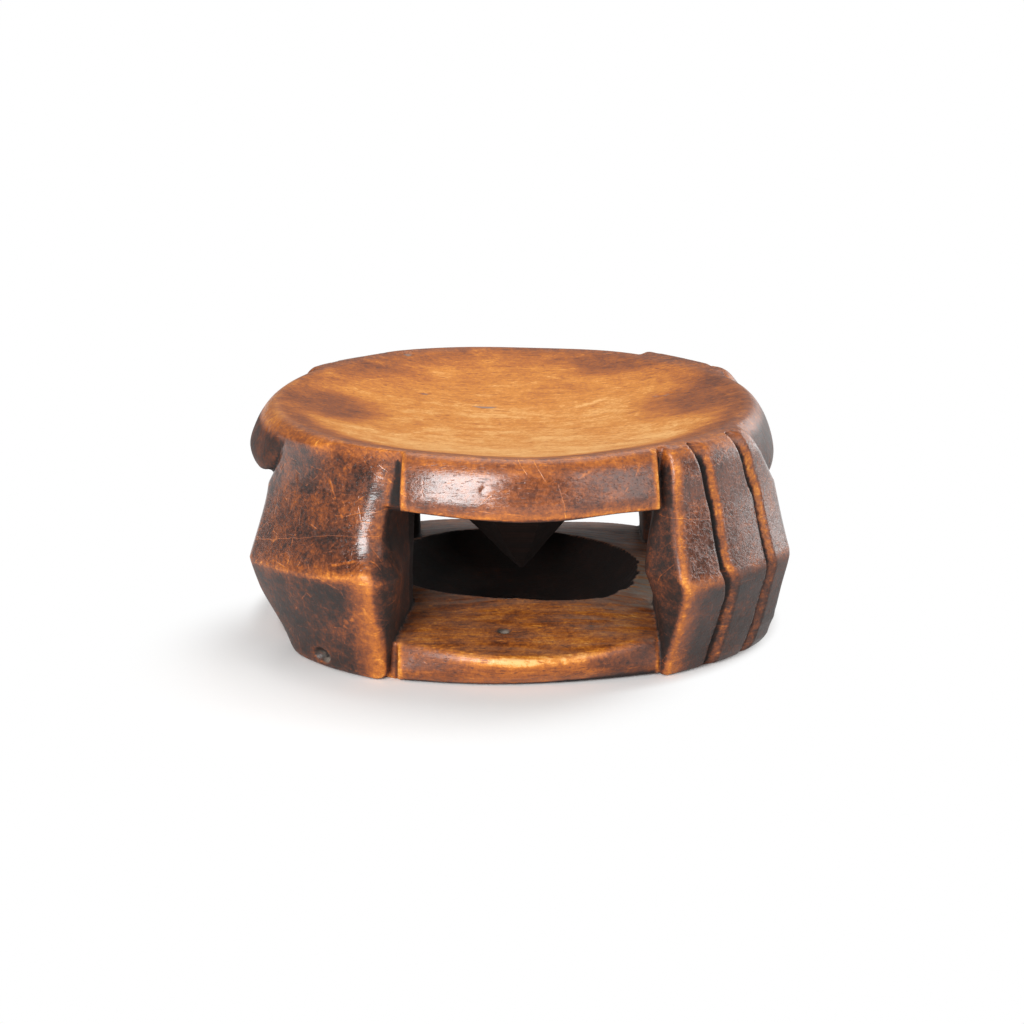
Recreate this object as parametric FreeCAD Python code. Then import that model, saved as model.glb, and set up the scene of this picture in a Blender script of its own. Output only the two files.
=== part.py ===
"""A low stool carved in the round: dished seat, four bent corner legs, pierced base and a faceted pendant.

The origin is on the floor, on the axis of the round seat. +Z is up and -Y is the front, where the
widest window between two legs opens. Sizes are in millimetres.

The old stool is one block of wood. Here its members are parted along the lines that the carver cut:
each leg runs the whole height outside the seat and the base, which are notched to take it, and a round
stub tenon at each end locks it. The pendant hangs under the seat on a round tenon of its own.
"""

import FreeCAD, Part

import math
import os

# Seat: reaches are measured outwards from the crest of the rim
STOOL_HEIGHT = 136.0
SEAT_EDGE_DEPTH = 37.0
CREST_RADIUS = 144.0
CREST_ROUND = 5.0
DISH_DEPTH = 19.0
APRON_BULGE_REACH = 15.0
APRON_BULGE_RISE = 10.0
APRON_FOOT_REACH = 5.0

# Base: a ring that is higher at its hole than at its edge, with a hole that narrows downwards
BASE_FOOT_RADIUS = 138.0
BASE_FLARE = 7.0
BASE_EDGE_HEIGHT = 23.0
BASE_RIM_HEIGHT = 31.0
BASE_EDGE_ROUND = 5.0
BASE_FOOT_ROUND = 3.0
HOLE_RADIUS = 76.0
HOLE_FOOT_RADIUS = 30.0
SILL_WEAR_DEPTH = 4.0
SILL_WEAR_RADIUS = 300.0

# Windows: the inner corner of each leg in plan, and how far past the crest the flanks end
WINDOW_LEFT = 57.0
WINDOW_RIGHT = 82.0
SIDE_WINDOW_HALF = 60.0
MOUTH_REACH = 3.0

# Legs: the bent outer face, its knee and top measured out from the crest, and its foot from the base's foot
KNEE_HEIGHT = 60.0
KNEE_ROUND = 30.0
LEFT_KNEE_REACH = 25.0
RIGHT_KNEE_REACH = 32.0
LEFT_TOP_REACH = 6.0
RIGHT_TOP_REACH = 10.0
LEG_SHOULDER_DROP = 6.0
LEG_FOOT_REACH = 14.0
LEG_FOOT_ROUND = 5.0

# Legs: how far each wall stands off the diagonal that the leg points along
LEFT_FRONT_WALL = 45.0
LEFT_SIDE_WALL = 60.0
RIGHT_FRONT_WALL = 31.0
RIGHT_SIDE_WALL = 67.0
ARRIS_ROUND = 4.0

# Ribs: V grooves down the outer face, at these shares of the way from the front wall to the side wall
GROOVE_DEPTH = 8.0
GROOVE_WIDTH = 13.0
GROOVE_SHARES = (0.27, 0.61)

# Joints: how deep the legs are let into the rim and the foot, and their tenons
SEAT_NOTCH_DEPTH = 3.0
BASE_NOTCH_DEPTH = 8.0
TENON_RADIUS = 11.0
TENON_INSET = 17.0
TOP_TENON_LENGTH = 9.0
FOOT_TENON_LENGTH = 13.0
JOINT_CLEARANCE = 0.2

# Pendant
PENDANT_SIDES = 8
PENDANT_FLAT_RADIUS = 68.0
PENDANT_LENGTH = 70.0
PENDANT_TENON_RADIUS = 14.0
PENDANT_TENON_LENGTH = 9.0

# How far a cutting tool runs past what it cuts, and how near two places count as one
OVERRUN = 20.0
NEAR = 0.01

SEAT_UNDERSIDE = STOOL_HEIGHT - SEAT_EDGE_DEPTH
SEAT_NOTCH_RADIUS = CREST_RADIUS - SEAT_NOTCH_DEPTH
BASE_RADIUS = BASE_FOOT_RADIUS + BASE_FLARE
BASE_NOTCH_RADIUS = BASE_FOOT_RADIUS - BASE_NOTCH_DEPTH
LEG_FOOT_RADIUS = BASE_FOOT_RADIUS + LEG_FOOT_REACH
MOUTH_RADIUS = CREST_RADIUS + MOUTH_REACH
LEG_SHOULDER_HEIGHT = STOOL_HEIGHT - LEG_SHOULDER_DROP

UP = FreeCAD.Vector(0, 0, 1)
ORIGIN = FreeCAD.Vector(0, 0, 0)
HALF_ROOT = math.sqrt(0.5)

# Leg name: side of X, side of Y, ribbed or plain
LEGS = {
    "leg_front_left": (-1, -1, False),
    "leg_front_right": (1, -1, True),
    "leg_back_left": (-1, 1, True),
    "leg_back_right": (1, 1, False),
}


def point(radius, height):
    """A point of a profile in the XZ half plane."""
    return FreeCAD.Vector(radius, 0, height)


def line(start, end):
    return Part.LineSegment(start, end).toShape()


def arc(start, middle, end):
    return Part.Arc(start, middle, end).toShape()


def polygon_face(corners):
    return Part.Face(Part.makePolygon(corners + corners[:1]))


def turned(face):
    """The solid that a profile sweeps in a full turn about Z."""
    return face.revolve(ORIGIN, UP, 360)


def cylinder(radius, bottom, top, x=0.0, y=0.0):
    return Part.makeCylinder(radius, top - bottom, FreeCAD.Vector(x, y, bottom), UP)


def quarter_middle(centre_radius, centre_height, radius, height):
    """The 45 degree point of the ellipse quarter about a centre, out to a radius and on to a height."""
    return point(
        centre_radius + (radius - centre_radius) * HALF_ROOT,
        centre_height + (height - centre_height) * HALF_ROOT,
    )


def rounded_ring(shape, size, radius, height):
    """A turned solid with the edge at a radius and a height rounded."""
    edges = []
    for edge in shape.Edges:
        middle = edge.valueAt((edge.FirstParameter + edge.LastParameter) / 2)
        if math.hypot(math.hypot(middle.x, middle.y) - radius, middle.z - height) < NEAR:
            edges.append(edge)
    return shape.makeFillet(size, edges)


def left_or_right(side_x, left, right):
    return left if side_x < 0 else right


def leg_walls(side_x):
    """How far the leg's front wall and side wall stand off its diagonal."""
    front = left_or_right(side_x, LEFT_FRONT_WALL, RIGHT_FRONT_WALL)
    side = left_or_right(side_x, LEFT_SIDE_WALL, RIGHT_SIDE_WALL)
    return front, side


def knee_radius(side_x):
    return CREST_RADIUS + left_or_right(side_x, LEFT_KNEE_REACH, RIGHT_KNEE_REACH)


def inner_corner(side_x):
    """The leg's inner corner in plan, as distances from the two middle planes."""
    return left_or_right(side_x, WINDOW_LEFT, WINDOW_RIGHT), SIDE_WINDOW_HALF


def leg_plan(side_x, side_y):
    """The leg's plan: inner corner, window flank, front wall, outer end, side wall and side flank."""
    front, side = leg_walls(side_x)
    reach = knee_radius(side_x) + OVERRUN

    def on_wall(along, offset):
        return (along + offset) * HALF_ROOT, (along - offset) * HALF_ROOT

    corners = [
        inner_corner(side_x),
        on_wall(math.sqrt(MOUTH_RADIUS**2 - front**2), -front),
        on_wall(reach, -front),
        on_wall(reach, side),
        on_wall(math.sqrt(MOUTH_RADIUS**2 - side**2), side),
    ]
    return [FreeCAD.Vector(side_x * x, side_y * y, 0) for x, y in corners]


def leg_prism(side_x, side_y, bottom, top):
    """The leg's plan drawn up from one height to another."""
    face = polygon_face(leg_plan(side_x, side_y))
    face.translate(FreeCAD.Vector(0, 0, bottom))
    return face.extrude(FreeCAD.Vector(0, 0, top - bottom))


def leg_outer_edges(side_x, foot_height, top_height):
    """The leg's outer face in profile, from one height to another: two straight runs and the knee's arc."""
    foot_end = point(LEG_FOOT_RADIUS, 0)
    knee = point(knee_radius(side_x), KNEE_HEIGHT)
    top_reach = left_or_right(side_x, LEFT_TOP_REACH, RIGHT_TOP_REACH)
    top_end = point(CREST_RADIUS + top_reach, LEG_SHOULDER_HEIGHT)

    def at_height(run_end, height):
        return knee + (run_end - knee) * ((height - knee.z) / (run_end.z - knee.z))

    to_foot = (foot_end - knee).normalize()
    to_top = (top_end - knee).normalize()
    half_turn = (math.pi - to_foot.getAngle(to_top)) / 2
    run = KNEE_ROUND * math.tan(half_turn)
    cut_in = KNEE_ROUND / math.cos(half_turn) - KNEE_ROUND
    bend_start = knee + to_foot * run
    bend_middle = knee + (to_foot + to_top).normalize() * cut_in
    bend_end = knee + to_top * run
    return [
        line(at_height(foot_end, foot_height), bend_start),
        arc(bend_start, bend_middle, bend_end),
        line(bend_end, at_height(top_end, top_height)),
    ]


def outer_arrises(leg, plan):
    """The long edges where the leg's two walls meet its outer face."""
    found = []
    for start, end in ((plan[1], plan[2]), (plan[4], plan[3])):
        wall = (end - start).normalize()
        for edge in leg.Edges:
            middle = edge.valueAt((edge.FirstParameter + edge.LastParameter) / 2) - start
            climbs = edge.BoundBox.ZLength > LEG_FOOT_ROUND
            if climbs and abs(middle.cross(wall).z) < NEAR and middle.dot(wall) > NEAR:
                found.append(edge)
    return found


def groove(side_x, side_y, share):
    """A V groove that follows the leg's bent outer face, part of the way from front wall to side wall."""
    front, side = leg_walls(side_x)
    front_turn = math.asin(front / knee_radius(side_x))
    side_turn = math.asin(side / knee_radius(side_x))
    from_diagonal = share * (front_turn + side_turn) - front_turn
    edges = leg_outer_edges(side_x, -OVERRUN, STOOL_HEIGHT + OVERRUN)
    start = edges[0].valueAt(edges[0].FirstParameter)
    run = edges[0].tangentAt(edges[0].FirstParameter)
    inward = FreeCAD.Vector(-run.z, 0, run.x) * GROOVE_DEPTH
    across = FreeCAD.Vector(0, GROOVE_WIDTH, 0)
    corners = [start + inward, start - inward + across, start - inward - across]
    section = Part.makePolygon(corners + corners[:1])
    tool = Part.Wire(edges).makePipeShell([section], True, False)
    diagonal = math.degrees(math.atan2(side_y, side_x))
    tool.rotate(ORIGIN, UP, diagonal - side_x * side_y * math.degrees(from_diagonal))
    return tool


def base_top_at(radius):
    """The height of the base's sloping top at a radius."""
    share = (radius - HOLE_RADIUS) / (BASE_RADIUS - HOLE_RADIUS)
    return BASE_RIM_HEIGHT + (BASE_EDGE_HEIGHT - BASE_RIM_HEIGHT) * share


def base_core():
    """What the legs stand on: the base inside the notches, as if it had no hole."""
    return turned(
        polygon_face(
            [
                ORIGIN,
                point(BASE_NOTCH_RADIUS, 0),
                point(BASE_NOTCH_RADIUS, base_top_at(BASE_NOTCH_RADIUS)),
                point(0, base_top_at(0)),
            ]
        )
    )


def tenon_place(side_x, side_y):
    """The axis of a leg's two tenons in plan, set in from the leg's inner corner."""
    x, y = inner_corner(side_x)
    return side_x * (x + TENON_INSET), side_y * (y + TENON_INSET)


def tenon_bottom(side_x, side_y):
    """Where a leg's foot tenon ends, below the base's top at the tenon's axis."""
    return base_top_at(math.hypot(*tenon_place(side_x, side_y))) - FOOT_TENON_LENGTH


def make_leg(side_x, side_y, ribbed):
    """A bent corner leg, let into the seat and the base, with a round stub tenon at each end."""
    outer = leg_outer_edges(side_x, 0, LEG_SHOULDER_HEIGHT)
    foot = outer[0].valueAt(outer[0].FirstParameter)
    shoulder = outer[-1].valueAt(outer[-1].LastParameter)
    crest = point(CREST_RADIUS, STOOL_HEIGHT)
    crown = point(0, STOOL_HEIGHT)
    closing = [line(shoulder, crest), line(crest, crown), line(crown, ORIGIN), line(ORIGIN, foot)]
    leg = turned(Part.Face(Part.Wire(outer + closing)))
    leg = rounded_ring(leg, LEG_FOOT_ROUND, foot.x, foot.z)
    leg = leg.common(leg_prism(side_x, side_y, 0, STOOL_HEIGHT))
    leg = leg.makeFillet(ARRIS_ROUND, outer_arrises(leg, leg_plan(side_x, side_y)))
    if ribbed:
        for share in GROOVE_SHARES:
            leg = leg.cut(groove(side_x, side_y, share))
    leg = leg.cut(cylinder(SEAT_NOTCH_RADIUS, SEAT_UNDERSIDE, STOOL_HEIGHT + OVERRUN))
    leg = leg.cut(base_core())
    tenons = cylinder(
        TENON_RADIUS,
        tenon_bottom(side_x, side_y),
        SEAT_UNDERSIDE + TOP_TENON_LENGTH,
        *tenon_place(side_x, side_y),
    )
    return leg.fuse(tenons).removeSplitter()


def leg_notch(side_x, side_y, radius, bottom, top):
    """What a leg takes out of the seat or the base outside a radius."""
    return leg_prism(side_x, side_y, bottom, top).cut(cylinder(radius, bottom, top))


def make_seat():
    """The round seat: dished top, bulging apron, flat underside, notches and bores for what joins it."""
    dish_floor = STOOL_HEIGHT - DISH_DEPTH
    dish_curve = (CREST_RADIUS**2 + DISH_DEPTH**2) / (2 * DISH_DEPTH)
    half_crest = CREST_RADIUS / 2
    half_crest_rise = dish_curve - math.sqrt(dish_curve**2 - half_crest**2)
    bulge_radius = CREST_RADIUS + APRON_BULGE_REACH
    bulge_height = SEAT_UNDERSIDE + APRON_BULGE_RISE
    foot_radius = CREST_RADIUS + APRON_FOOT_REACH
    crest = point(CREST_RADIUS, STOOL_HEIGHT)
    bulge = point(bulge_radius, bulge_height)
    apron_foot = point(foot_radius, SEAT_UNDERSIDE)
    under_centre = point(0, SEAT_UNDERSIDE)
    dish_centre = point(0, dish_floor)
    shoulder = quarter_middle(CREST_RADIUS, bulge_height, bulge_radius, STOOL_HEIGHT)
    under_bulge = quarter_middle(foot_radius, bulge_height, bulge_radius, SEAT_UNDERSIDE)
    profile = [
        line(under_centre, apron_foot),
        arc(apron_foot, under_bulge, bulge),
        arc(bulge, shoulder, crest),
        arc(crest, point(half_crest, dish_floor + half_crest_rise), dish_centre),
        line(dish_centre, under_centre),
    ]
    seat = turned(Part.Face(Part.Wire(profile)))
    seat = rounded_ring(seat, CREST_ROUND, CREST_RADIUS, STOOL_HEIGHT)
    below = SEAT_UNDERSIDE - OVERRUN
    above = STOOL_HEIGHT + OVERRUN
    tenon_bore = TENON_RADIUS + JOINT_CLEARANCE
    tenon_bore_top = SEAT_UNDERSIDE + TOP_TENON_LENGTH + JOINT_CLEARANCE
    for side_x, side_y, _ in LEGS.values():
        seat = seat.cut(leg_notch(side_x, side_y, SEAT_NOTCH_RADIUS, below, above))
        seat = seat.cut(cylinder(tenon_bore, below, tenon_bore_top, *tenon_place(side_x, side_y)))
    pendant_bore = PENDANT_TENON_RADIUS + JOINT_CLEARANCE
    pendant_bore_top = SEAT_UNDERSIDE + PENDANT_TENON_LENGTH + JOINT_CLEARANCE
    return seat.cut(cylinder(pendant_bore, below, pendant_bore_top))


def sill_wear(side_y):
    """The long shallow hollow worn in a sill: nothing at the hole, deepest at the outer edge."""
    middle = (WINDOW_RIGHT - WINDOW_LEFT) / 2
    rim = FreeCAD.Vector(middle, side_y * HOLE_RADIUS, BASE_RIM_HEIGHT)
    edge = FreeCAD.Vector(middle, side_y * BASE_RADIUS, BASE_EDGE_HEIGHT - SILL_WEAR_DEPTH)
    along = (edge - rim).normalize()
    off_floor = FreeCAD.Vector(0, -side_y * along.z, side_y * along.y)
    length = (edge - rim).Length + OVERRUN
    return Part.makeCylinder(SILL_WEAR_RADIUS, length, rim + off_floor * SILL_WEAR_RADIUS, along)


def make_base():
    """The base: a thick ring that slopes down from its hole, with two worn sills, notches and bores."""
    inner_foot = point(HOLE_FOOT_RADIUS, 0)
    foot = point(BASE_FOOT_RADIUS, 0)
    edge = point(BASE_RADIUS, BASE_EDGE_HEIGHT)
    rim = point(HOLE_RADIUS, BASE_RIM_HEIGHT)
    base = turned(polygon_face([inner_foot, foot, edge, rim]))
    base = rounded_ring(base, BASE_FOOT_ROUND, BASE_FOOT_RADIUS, 0)
    base = rounded_ring(base, BASE_EDGE_ROUND, BASE_RADIUS, BASE_EDGE_HEIGHT)
    for side_y in (-1, 1):
        base = base.cut(sill_wear(side_y))
    above = BASE_RIM_HEIGHT + OVERRUN
    for side_x, side_y, _ in LEGS.values():
        base = base.cut(leg_notch(side_x, side_y, BASE_NOTCH_RADIUS, -OVERRUN, above))
        bore_bottom = tenon_bottom(side_x, side_y) - JOINT_CLEARANCE
        bore = cylinder(TENON_RADIUS + JOINT_CLEARANCE, bore_bottom, above, *tenon_place(side_x, side_y))
        base = base.cut(bore)
    return base


def make_pendant():
    """The faceted point that hangs under the seat, with a round tenon that goes up into it."""
    corner_radius = PENDANT_FLAT_RADIUS / math.cos(math.pi / PENDANT_SIDES)
    corners = []
    for side in range(PENDANT_SIDES):
        turn = math.pi * (2 * side + 1) / PENDANT_SIDES
        x = corner_radius * math.cos(turn)
        y = corner_radius * math.sin(turn)
        corners.append(FreeCAD.Vector(x, y, SEAT_UNDERSIDE))
    tip = FreeCAD.Vector(0, 0, SEAT_UNDERSIDE - PENDANT_LENGTH)
    faces = [polygon_face(corners)]
    for first, second in zip(corners, corners[1:] + corners[:1]):
        faces.append(polygon_face([first, second, tip]))
    body = Part.makeSolid(Part.makeShell(faces))
    tenon = cylinder(
        PENDANT_TENON_RADIUS, SEAT_UNDERSIDE - PENDANT_TENON_LENGTH, SEAT_UNDERSIDE + PENDANT_TENON_LENGTH
    )
    return body.fuse(tenon).removeSplitter()


def main():
    pieces = {"seat": make_seat(), "base": make_base(), "pendant": make_pendant()}
    for name, leg in LEGS.items():
        pieces[name] = make_leg(*leg)
    os.makedirs("parts", exist_ok=True)
    for name, shape in pieces.items():
        print(f"{name}: {len(shape.Solids)} solid, valid {shape.isValid()}, {shape.Volume / 1000:.1f} cm3")
        shape.Solids[0].exportStep(os.path.join("parts", name + ".step"))


main()
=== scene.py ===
"""A low stool carved from one block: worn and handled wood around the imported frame.

The carved form is worked out as one continuous block, because that is what the old stool is, and is then
parted into the members that the frame names. So the grain, the patina and the tool marks run on from a
member to the next. Lengths in the carving code are millimetres, and everything in the scene is metres.
"""

import math
from functools import partial

import bmesh
import bpy
import numpy as np
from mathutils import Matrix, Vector


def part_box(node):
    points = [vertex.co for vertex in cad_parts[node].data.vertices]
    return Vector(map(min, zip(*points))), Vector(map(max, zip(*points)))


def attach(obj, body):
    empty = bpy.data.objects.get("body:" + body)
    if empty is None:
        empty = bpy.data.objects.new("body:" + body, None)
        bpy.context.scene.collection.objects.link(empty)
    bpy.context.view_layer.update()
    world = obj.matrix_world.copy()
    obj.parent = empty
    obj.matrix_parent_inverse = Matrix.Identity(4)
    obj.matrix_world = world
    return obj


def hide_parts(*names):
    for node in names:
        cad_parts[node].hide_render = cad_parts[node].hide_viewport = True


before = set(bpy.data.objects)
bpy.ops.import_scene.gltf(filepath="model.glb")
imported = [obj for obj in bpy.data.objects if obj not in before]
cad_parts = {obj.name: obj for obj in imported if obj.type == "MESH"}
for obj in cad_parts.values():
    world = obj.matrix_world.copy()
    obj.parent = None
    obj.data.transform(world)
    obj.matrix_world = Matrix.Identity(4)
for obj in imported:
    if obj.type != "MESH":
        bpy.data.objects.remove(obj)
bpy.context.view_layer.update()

bl_info = {
    "name": "Carved stool",
    "version": (1, 0, 0),
    "blender": (4, 5, 0),
    "location": "3D View > Sidebar > Stool",
    "description": "Carves the seat, legs, base and pendant of a one-block stool around its packed frame",
    "category": "Object",
}

BLOCK = "carved_block"
GROOVE = "groove"
CARVED_NORMAL = "carved_normal"
MM = 0.001


def box_mm(node):
    """Lowest and highest corner of a frame node, in millimetres."""
    return [np.array(corner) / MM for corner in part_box(node)]


SEAT_LOW, SEAT_HIGH = box_mm("seat")
PENDANT_LOW, PENDANT_HIGH = box_mm("pendant")
SEAT_TOP = SEAT_HIGH[2]
SEAT_UNDERSIDE = SEAT_LOW[2]
APRON_REACH = SEAT_HIGH[0]
BASE_TOP = box_mm("base")[1][2]

# Plan of the legs, in the corner where both directions are positive: across is X, deep is Y.
# Each wall stands off the diagonal by (height, distance) pairs, because the carver let it lean.
# The apron and the kerb end across from the middle at a plane of their own, which leaves a V beside the wall.
# At the sides the apron laps over the leg and ends in a rounding: the lobe's two numbers.
# Spread is how much further out the face stands for each unit from the diagonal towards the side wall.
WALLS = {
    "left": {
        "inner": (57.0, 60.0),
        "front": ((0, 41.5), (27, 43.5), (46, 45.5), (62, 48), (74, 43), (86, 40.5), (105, 43.5), (130, 47)),
        "side": ((0, 58), (99, 61), (136, 31)),
        "apron_end": ((100, 61.6), (136, 61.6)),
        "kerb_end": 65.3,
        "lobe": (2.0, 20.0),
        "spread": ((0, 0), (60, 0.04), (136, 0)),
    },
    "right": {
        "inner": (82.0, 60.0),
        "front": ((0, 26), (17, 26), (30, 27.5), (45, 31.5), (64, 37.5), (76, 35.5), (96, 31), (130, 29)),
        "side": ((0, 66), (99, 70), (136, 44)),
        "apron_end": ((100, 83.1), (136, 79.1)),
        "kerb_end": 84.0,
        "lobe": (10.0, 9.0),
        "spread": ((0, 0.1), (8, 0.15), (18, 0.17), (38, 0.11), (60, 0.05), (136, 0)),
    },
}
MOUTH_RADIUS = 147.0

# Each leg: the half of the stool that gives its plan, its corner, how far its top stands out of the
# round crest, and whether its outer face is ribbed
LEGS = {
    "leg_front_left": {"plan": "left", "corner": (-1, -1), "shoulder": 0.5, "ribbed": False},
    "leg_front_right": {"plan": "right", "corner": (1, -1), "shoulder": 4.0, "ribbed": True},
    "leg_back_left": {"plan": "left", "corner": (-1, 1), "shoulder": 6.0, "ribbed": True},
    "leg_back_right": {"plan": "right", "corner": (1, 1), "shoulder": 7.0, "ribbed": False},
}

# Hole in the base: the radius of its section, and its outline as the carver left it (angle in degrees,
# radius)
HOLE_RADIUS = 76.0
HOLE_EDGE = ((-180, 74), (-140, 70), (-109, 67), (-87, 69.5), (-69, 79), (-52, 84.5), (-35, 82), (-12, 76),
             (20, 73), (60, 72.5), (95, 78), (118, 83), (140, 80.5), (180, 74))

# Where the block is parted: the seat keeps the round core above its underside, the base the one below,
# and a leg's share reaches a little beyond its flanks and its walls
SEAT_CORE_RADIUS = 141.0
BASE_CORE_RADIUS = 130.0
LEG_SEAT_CUT = SEAT_UNDERSIDE - 1.0
LEG_BASE_CUT = 20.0
FILLET_REACH = 2.5
WALL_REACH = 1.6

# Front ends of the seat's apron and the base's kerb: their rounding, and how far in the V goes
FRONT_END_ROUND = 1.2
APRON_GROOVE_RADIUS = 147.0
SIDE_GROOVE_RADIUS = 151.0
KERB_GROOVE_RADIUS = 143.0

# Roundings where members meet, and between a wall of a leg and its flank
SEAT_FILLET = 2.0
BASE_FILLET = 1.5
FLANK_ROUND = 4.0

# The outer face of a left leg falls away within this width of its front wall, on this radius
FACE_BULGE_WIDTH = 43.0
FACE_BULGE_RADIUS = 135.0

# Grooves between the ribs, from the crest down: height, and share of the way from the front wall to the
# side wall
RIB_GROOVES = (
    ((134, 0.25), (107, 0.27), (66, 0.30), (48, 0.35), (3, 0.33)),
    ((133, 0.71), (108, 0.67), (87, 0.68), (48, 0.70), (3, 0.66)),
)

# Points this near to an arris of a groove, in steps of the grid, are moved on to it
GROOVE_SNAP = 0.55

# Pendant: its sides, how far its tip leans to the right for each unit that it hangs down, its share of
# the width, the flat of its tip, how far it is let into the seat, and how rough it was hewn
PENDANT_SIDES = 8
PENDANT_LEAN = 0.07
PENDANT_SHARE = 0.88
PENDANT_TIP_RADIUS = 1.5
PENDANT_LET_IN = 0.8
PENDANT_ROUGHNESS = 1.6

# Old hurts in the wood: centre, half sizes and depth
SCARS = {
    "lost knot": ((-110.0, -106.3, 8.4), (7.5, 7.5, 5.2), 5.0),
    "dash in the dish": ((91.9, 46.3, 127.0), (6.5, 2.4, 9.0), 1.2),
    "pit by the back rim": ((-67.5, 120.2, 132.0), (3.2, 3.2, 9.0), 1.2),
    "small pit": ((-54.9, 64.2, 122.0), (2.6, 2.6, 9.0), 0.7),
    "crack in the dish": ((-17.3, 44.5, 119.0), (8.0, 1.6, 9.0), 0.5),
    "chipped rim": ((131.9, 87.9, 133.0), (10.0, 7.0, 7.0), 2.6),
    "pit in the sill": ((-5.7, -112.1, 24.0), (4.5, 3.2, 9.0), 1.3),
}

# Long thin scratches: where each starts and ends
SCORES = (
    ((-100.2, -119.5, 95.6), (-70.0, -139.4, 102.4)),
    ((-146.4, -69.5, 67.7), (-102.9, -125.1, 84.9)),
    ((-104.0, -124.0, 84.6), (-73.9, -144.2, 87.0)),
    ((80.5, -141.7, 99.5), (112.2, -118.2, 92.9)),
    ((25.7, -156.9, 123.2), (29.1, -156.3, 103.1)),
    ((12.0, -156.5, 134.9), (17.5, -156.0, 124.6)),
    ((2.2, -157.0, 135.6), (7.1, -156.8, 128.2)),
    ((-18.1, -158.0, 112.7), (-12.0, -158.5, 117.4)),
)


def length(label, description, millimetres, **limits):
    """A length that a user may change."""
    return bpy.props.FloatProperty(
        name=label, description=description, default=millimetres * MM, unit="LENGTH", **limits)


class StoolShape(bpy.types.PropertyGroup):
    """Sizes of the carving that a user would change."""

    grid_step: length("Carving step", "Spacing of the grid that the block is carved on", 1.5, min=0.8 * MM)
    dish_depth: length("Dish depth", "How far the middle of the seat lies below its crest", 19)
    groove_depth: length("Groove depth", "Depth of the grooves between the ribs of a leg", 6.5)
    groove_slope: length("Groove slope", "Width of the sloping wall of a groove", 8.5)
    groove_wall: length("Groove wall", "Width of the steep wall of a groove", 2.5)
    sill_wear: length("Sill wear", "How deep the front edge of the base is worn down", 3.5)
    nicks_per_square_metre: bpy.props.FloatProperty(
        name="Nicks", description="Small dents on each square metre of surface", default=900.0, min=0.0)
    nick_radius: length("Nick radius", "Radius of the largest dents", 4.5)
    nick_depth: length("Nick depth", "Depth of the deepest dents", 0.5)
    nick_seed: bpy.props.IntProperty(name="Nick seed", description="Draw that places the dents", default=7)


def linear(hex_colour):
    """An sRGB hex value as linear RGB."""
    channels = [int(hex_colour[i:i + 2], 16) / 255 for i in (1, 3, 5)]
    return tuple(c / 12.92 if c <= 0.04045 else ((c + 0.055) / 1.055) ** 2.4 for c in channels)


def tint(label, description, hex_colour):
    """A colour that a user may change."""
    return bpy.props.FloatVectorProperty(
        name=label, description=description, default=linear(hex_colour), subtype="COLOR", min=0.0, max=1.0)


class StoolFinish(bpy.types.PropertyGroup):
    """Colours of the wood, from the darkest patina to the barest edge."""

    # The darkest stain is also painted shade: inside the hole, under the seat, in the V beside each leg and
    # along the foot of the kerb
    soot_and_shade: tint("Soot", "Grime in hollows and inside", "#120805")
    bark: tint("Bark", "Dark skin of grease and smoke", "#2C1409")
    russet: tint("Russet", "Red brown patina", "#582A12")
    chestnut: tint("Chestnut", "Thin patina", "#824216")
    amber: tint("Amber", "Wood under oil", "#AF6119")
    honey: tint("Honey", "Polished seat", "#D08329")
    gold: tint("Gold", "Bare worn edges", "#EBB26A")
    dust: tint("Dust", "Grey dirt in scars and corners", "#8C8075")
    floor: tint("Floor", "Plain pale floor", "#F2F1F0")


class StoolStage(bpy.types.PropertyGroup):
    """Camera, floor and light."""

    distance: length("Camera distance", "From the camera to the middle of the stool", 1700)
    elevation: bpy.props.FloatProperty(
        name="Camera elevation", description="Angle of the camera above the horizon",
        default=math.radians(15.5), subtype="ANGLE")
    room_light: bpy.props.FloatProperty(
        name="Room light", description="Even light from all round, as a share of white",
        default=0.27, min=0.0)
    lens: bpy.props.FloatProperty(
        name="Lens", description="Focal length on a 36 mm sensor", default=98.4, unit="CAMERA")
    aim: bpy.props.FloatVectorProperty(
        name="Aim", description="Point that the camera looks at",
        default=(-0.0006, 0.0, 0.0641), subtype="XYZ", unit="LENGTH")


# Carving: fields are negative inside the wood and count millimetres from its surface

TABLE_STEP = 0.5
TABLE_LOW = (-30.0, -20.0)
TABLE_SIZE = (470, 360)


def soft_max(a, b, rounding):
    """The larger of two fields, with the arris between them rounded."""
    share = np.clip(0.5 + 0.5 * (a - b) / rounding, 0.0, 1.0)
    return b + (a - b) * share + rounding * share * (1.0 - share)


def soft_min(a, b, rounding):
    """The smaller of two fields, with the hollow between them filled."""
    return -soft_max(-a, -b, rounding)


def smooth_step(low, high, value):
    """0 below low, 1 above high, and eased between them."""
    t = np.clip((value - low) / (high - low), 0.0, 1.0)
    return t * t * (3.0 - 2.0 * t)


def fade(low, high, value):
    """1 below low, 0 above high, and eased between them."""
    return 1.0 - smooth_step(low, high, value)


def curve_through(points, steps=8):
    """Points of a smooth curve that passes through the given points."""
    p = np.array([points[0], *points, points[-1]], float)
    t = np.linspace(0.0, 1.0, steps, endpoint=False)[:, None]
    spans = []
    for a, b, c, d in zip(p, p[1:], p[2:], p[3:]):
        spans.append(b + 0.5 * t * (c - a + t * (2 * a - 5 * b + 4 * c - d + t * (3 * (b - c) + d - a))))
    return [tuple(q) for q in np.concatenate(spans)] + [tuple(p[-1])]


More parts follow.
